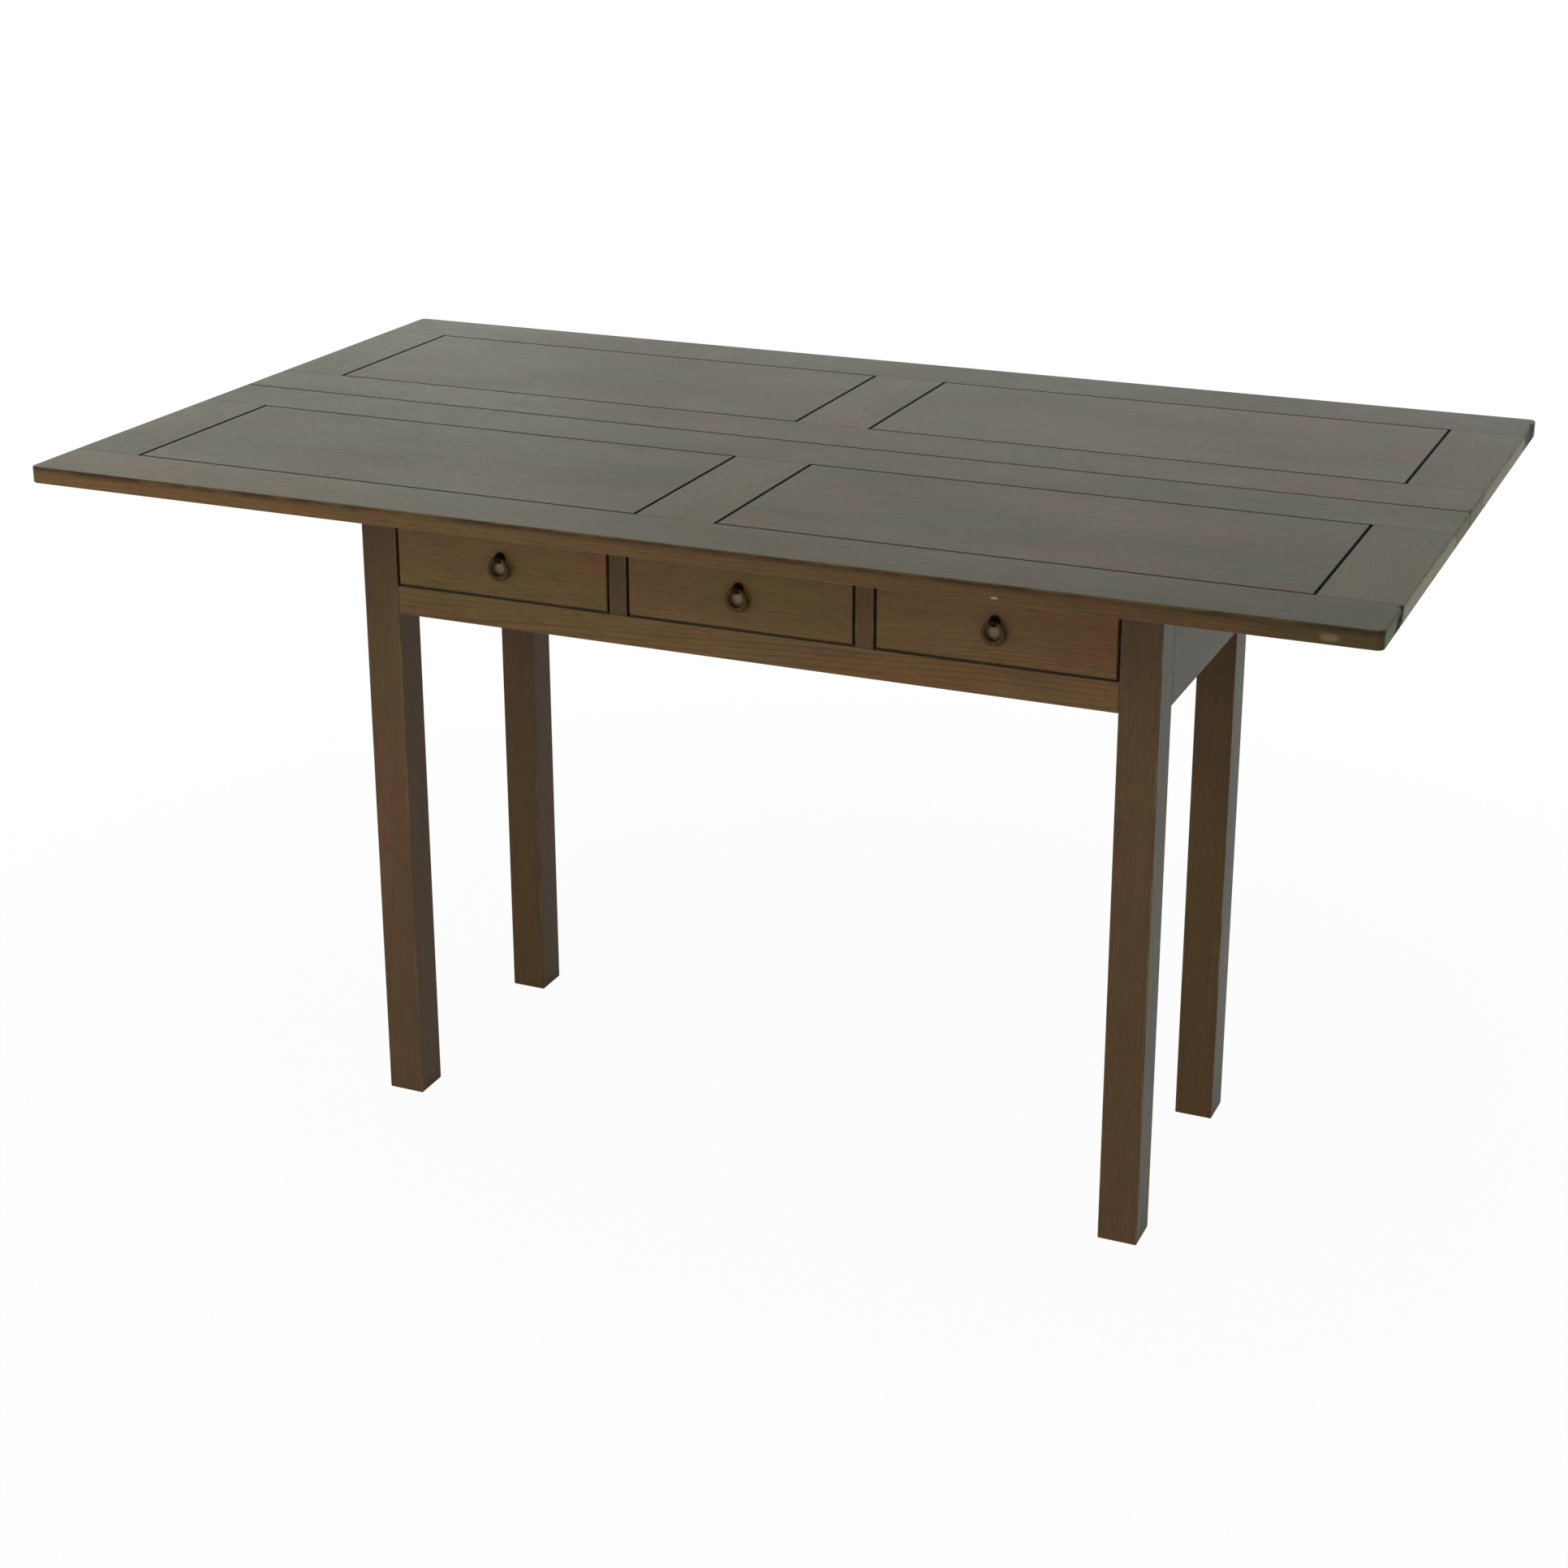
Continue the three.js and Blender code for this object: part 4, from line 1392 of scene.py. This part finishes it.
@dataclass
class RingPull(Assembly):
    """A turned post with a rosette and an eye, the nut behind it and the ring that hangs in it."""

    place: Place = Place.MIDDLE
    finish: Material | None = None
    rubbed: Material | None = None
    steel: Material | None = None
    rings: Recipe | None = None
    nuts: Recipe | None = None
    front_face: float = -170 * MM
    front_back: float = -150 * MM
    reach: float = 5.8 * MM
    rosette: float = 6 * MM
    rosette_thickness: float = 2 * MM
    seat: float = 0.3 * MM
    chamfer: float = 0.5 * MM
    bead: float = 0.6 * MM
    rim: float = 1.4 * MM
    rim_slope: float = 0.2 * MM
    dish: float = 0.3 * MM
    cove: float = 0.6 * MM
    ball: float = 4.9 * MM
    eye: float = 3.1 * MM
    eye_flare: float = 0.9 * MM
    spigot: float = 2.5 * MM
    spigot_tail: float = 4 * MM
    ring: float = 10.6 * MM
    wire_top: float = 1.85 * MM
    wire_foot: float = 3.25 * MM
    narrowing: float = 0.12
    unevenness: float = 0.4 * MM
    nut: float = 4.6 * MM
    nut_thickness: float = 2.4 * MM
    nut_play: float = 0.05 * MM
    washer: float = 6 * MM
    washer_thickness: float = 0.8 * MM
    facets: int = 48
    curve_steps: int = 6
    ball_steps: int = 20
    flare_steps: int = 8
    cutter_share: float = 1.3
    ring_steps: tuple[int, int] = (96, 20)
    centre: Vector = field(default_factory=Vector)

    def build(self) -> None:
        """Make the post, the ring and the nut."""
        low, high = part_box(f"{self.place}_drawer_front")
        self.centre = (low + high) / 2
        self.centre.y = self.front_face - self.reach
        post = self.post()
        post.data.materials.append(self.finish)
        self.hang(post, DARK_BRONZE.slot, f"{self.place}_pull_post")
        self.hang_ring()
        self.fix_nut()

    def post(self) -> Object:
        """Turn the post and bore its eye.

        Returns:
            The post, in place.
        """
        blank = turned(self.post_profile(), self.facets)
        move = Matrix.Translation((self.centre.x, self.front_face, self.centre.z))
        blank.transform(move @ Matrix.Rotation(math.pi, 4, "X"))
        post = object_of(f"{self.place}_pull_post_turned", mesh_from("post", blank))
        reel = turned(self.eye_profile(), self.facets)
        reel.transform(Matrix.Translation(self.centre) @ Matrix.Rotation(-QUARTER_TURN, 4, "Z"))
        cutter = object_of("eye_cutter", mesh_from("eye", reel))
        boring = post.modifiers.new("eye", "BOOLEAN")
        boring.operation = "DIFFERENCE"
        boring.solver = "EXACT"
        boring.object = cutter
        settle(post)
        bpy.data.objects.remove(cutter)
        post.data.set_sharp_from_angle(angle=SMOOTH_ANGLE)
        return post

    def post_profile(self) -> list[Pair]:
        """Draw the post from the tail of the spigot to the tip of the ball.

        Returns:
            Pairs of a radius and a place along the axis.
        """
        chamfer, seat, steps = self.chamfer, self.seat, self.curve_steps
        quarter = [QUARTER_TURN * i / steps for i in range(steps + 1)]
        tail = self.front_face - self.front_back - self.spigot_tail
        points = [(0.0, tail), (self.spigot - chamfer, tail), (self.spigot, tail + chamfer)]
        points += [(self.spigot, seat), (self.rosette - chamfer, seat), (self.rosette, seat + chamfer)]
        bead_foot = self.rosette_thickness - self.bead
        for angle in quarter:
            radius = self.rosette - self.bead * (1 - math.cos(angle))
            points.append((radius, bead_foot + self.bead * math.sin(angle)))
        dish = self.rosette_thickness - self.dish
        step = self.rosette - self.rim
        points += [(step, self.rosette_thickness), (step - self.rim_slope, dish)]
        meet = math.asin((self.reach - dish - self.cove) / self.ball)
        foot = self.ball * math.cos(meet) + self.cove
        for angle in quarter:
            radius = foot - self.cove * math.sin(angle)
            points.append((radius, dish + self.cove * (1 - math.cos(angle))))
        for i in range(1, self.ball_steps + 1):
            angle = -meet + (QUARTER_TURN + meet) * i / self.ball_steps
            radius = 0.0 if i == self.ball_steps else self.ball * math.cos(angle)
            points.append((radius, self.reach + self.ball * math.sin(angle)))
        return points

    def eye_profile(self) -> list[Pair]:
        """Draw the cutter that bores the eye and flares its mouths.

        Returns:
            Pairs of a radius and a place along the axis.
        """
        half = self.ball * self.cutter_share
        flat = math.sqrt(self.ball**2 - self.eye**2) - self.eye_flare
        shares = [i / self.flare_steps for i in range(self.flare_steps + 1)]
        curve = [(self.eye + self.eye_flare * s * s, flat + (half - flat) * s) for s in shares]
        mirrored = [(radius, -place) for radius, place in reversed(curve)]
        return [(0.0, -half), *mirrored, *curve, (0.0, half)]

    def hang_ring(self) -> None:
        """Sweep the ring and hang it in the eye, on its own body."""
        values = {
            "Ring radius": self.ring,
            "Wire at top": self.wire_top,
            "Wire at foot": self.wire_foot,
            "Narrowing": self.narrowing,
            "Unevenness": self.unevenness,
            "Steps along": self.ring_steps[0],
            "Steps round": self.ring_steps[1],
            "Turn": (QUARTER_TURN, 0.0, 0.0),
            "Finish": self.rubbed,
        }
        ring = self.rings.make(f"{self.place}_pull_ring_swept", [self.centre], values)
        drawer, self.body = self.body, f"{self.place}_ring"
        self.hang(ring, DARK_BRONZE.slot, f"{self.place}_pull_ring")
        self.body = drawer

    def fix_nut(self) -> None:
        """Put a washer and a nut on the spigot behind the drawer front."""
        values = {
            "Bore radius": self.spigot + self.nut_play,
            "Nut radius": self.nut,
            "Nut thickness": self.nut_thickness,
            "Washer radius": self.washer,
            "Washer thickness": self.washer_thickness,
            "Turn": (-QUARTER_TURN, 0.0, 0.0),
            "Finish": self.steel,
        }
        seat = (self.centre.x, self.front_back, self.centre.z)
        self.hang(self.nuts.make(f"{self.place}_pull_nut", [seat], values), HINGE_STEEL.slot)


# The studio

@dataclass(frozen=True)
class Lamp:
    """A soft square lamp, in metres and watts."""

    name: str
    place: Triple
    size: float
    power: float
    colour: Triple = (1.0, 1.0, 1.0)


@dataclass
class Studio:
    """A pale floor in soft light, and the camera."""

    floor_half: float = 20.0
    floor_tone: float = 0.92
    floor_lift: float = 0.95
    floor_near: float = 0.7
    floor_far: float = 1.6
    ambient: Colour = (0.58, 0.585, 0.59, 1.0)
    lamps: tuple[Lamp, ...] = (
        Lamp("key", (-0.6, -4.2, 2.6), 2.6, 72.0),
        Lamp("fill", (-2.4, -3.6, 2.2), 3.0, 30.0),
        Lamp("sheen", (-3.6, 3.7, 1.4), 2.5, 5.5, (0.88, 1.0, 0.88)),
    )
    aim: Triple = (0.0, 0.0, 0.6)
    eye: Triple = (1.1090, -2.6263, 1.5077)
    yaw: float = -23.82
    pitch: float = -18.81
    roll: float = -0.27
    image: float = 1932.0
    focal: float = 3399.8
    middle: Pair = (937.5, 806.4)
    sensor: float = 36.0

    def build(self) -> None:
        """Lay the floor, light it and set up the camera."""
        bpy.context.scene.view_settings.view_transform = "Standard"
        self.floor()
        self.surroundings()
        for lamp in self.lamps:
            self.hang(lamp)
        self.camera()

    def floor(self) -> None:
        """Lay a pale floor that shows nearly white and keeps the table's shadow."""
        half = self.floor_half
        corners = [(-half, -half, 0), (half, -half, 0), (half, half, 0), (-half, half, 0)]
        mesh = bpy.data.meshes.new("floor")
        mesh.from_pydata(corners, [], [(0, 1, 2, 3)])
        floor = object_of("floor", mesh)
        shader = Shader("pale_floor")
        tone = (self.floor_tone, self.floor_tone, self.floor_tone, 1.0)
        matt = shader.wire("ShaderNodeBsdfDiffuse", {"Color": tone})
        white = shader.wire("ShaderNodeEmission", {"Strength": 1.0})
        seen = shader.wire("ShaderNodeLightPath", key="Is Camera Ray")
        away = shader.step(shader.length(shader.place()), self.floor_near, self.floor_far)
        lift = self.floor_lift + away * (1.0 - self.floor_lift)
        blend = shader.wire("ShaderNodeMixShader", {0: seen * lift, 1: matt, 2: white})
        mesh.materials.append(shader.surface(blend))

    def surroundings(self) -> None:
        """Make surroundings that look white and light the table softly."""
        world = bpy.data.worlds.new("studio")
        world.use_nodes = True
        bpy.context.scene.world = world
        sky = Wiring(world.node_tree)
        sky.tree.nodes.clear()
        path = sky.node("ShaderNodeLightPath")
        seen = sky.out(path, "Is Camera Ray")
        for ray in ("Is Glossy Ray", "Is Transmission Ray"):
            seen = sky.maths("MAXIMUM", seen, sky.out(path, ray))
        soft = sky.wire("ShaderNodeBackground", {"Color": self.ambient})
        white = sky.wire("ShaderNodeBackground", {"Color": WHITE})
        blend = sky.wire("ShaderNodeMixShader", {0: seen, 1: soft, 2: white})
        sky.node("ShaderNodeOutputWorld", {"Surface": blend})

    def hang(self, lamp: Lamp) -> None:
        """Hang a lamp that shines at the table and isn't seen itself.

        Args:
            lamp: The lamp.
        """
        light = bpy.data.lights.new(lamp.name, "AREA")
        light.size = lamp.size
        light.energy = lamp.power
        light.color = lamp.colour
        hung = bpy.data.objects.new(lamp.name, light)
        bpy.context.scene.collection.objects.link(hung)
        hung.location = lamp.place
        hung.rotation_euler = (Vector(self.aim) - hung.location).to_track_quat("-Z", "Y").to_euler()
        hung.visible_camera = False

    def camera(self) -> None:
        """Set up the camera where the photograph was taken from."""
        yaw, pitch, roll = (math.radians(angle) for angle in (self.yaw, self.pitch, self.roll))
        level = math.cos(pitch)
        ahead = Vector((math.sin(yaw) * level, math.cos(yaw) * level, math.sin(pitch)))
        right = Vector((math.cos(yaw), -math.sin(yaw), 0.0))
        up = right.cross(ahead)
        rolled = math.cos(roll) * right + math.sin(roll) * up
        raised = math.cos(roll) * up - math.sin(roll) * right
        lens = bpy.data.cameras.new("camera")
        lens.sensor_width = self.sensor
        lens.lens = self.focal / self.image * self.sensor
        lens.shift_x = (self.image / 2 - self.middle[0]) / self.image
        lens.shift_y = (self.middle[1] - self.image / 2) / self.image
        camera = bpy.data.objects.new("camera", lens)
        bpy.context.scene.collection.objects.link(camera)
        turn = Matrix((rolled, raised, -ahead)).transposed().to_4x4()
        camera.matrix_world = Matrix.Translation(self.eye) @ turn
        bpy.context.scene.camera = camera


def main() -> None:
    """Build the table's sub-assemblies in order, then the studio round them."""
    logging.basicConfig(level=logging.INFO, format="%(name)s: %(message)s")
    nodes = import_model()["nodes"]
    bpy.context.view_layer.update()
    steel = HINGE_STEEL.material()
    screws = Screws(screw_recipe(), steel)
    pulls = {
        "finish": DARK_BRONZE.material(),
        "rubbed": RUBBED_BRONZE.material(),
        "steel": steel,
        "rings": ring_recipe(),
        "nuts": nut_recipe(),
    }

    Base(nodes, screws).build()
    for leaf in Half:
        Leaf(nodes, screws, f"{leaf}_leaf", leaf=leaf, hinge_finish=steel).build()
    SlideCarriage(nodes, screws).build()
    for place in Place:
        Drawer(nodes, screws, f"{place}_drawer", place=place).build()
        RingPull(nodes, screws, f"{place}_drawer", place=place, **pulls).build()
    Studio().build()


if __name__ == "__main__":
    main()
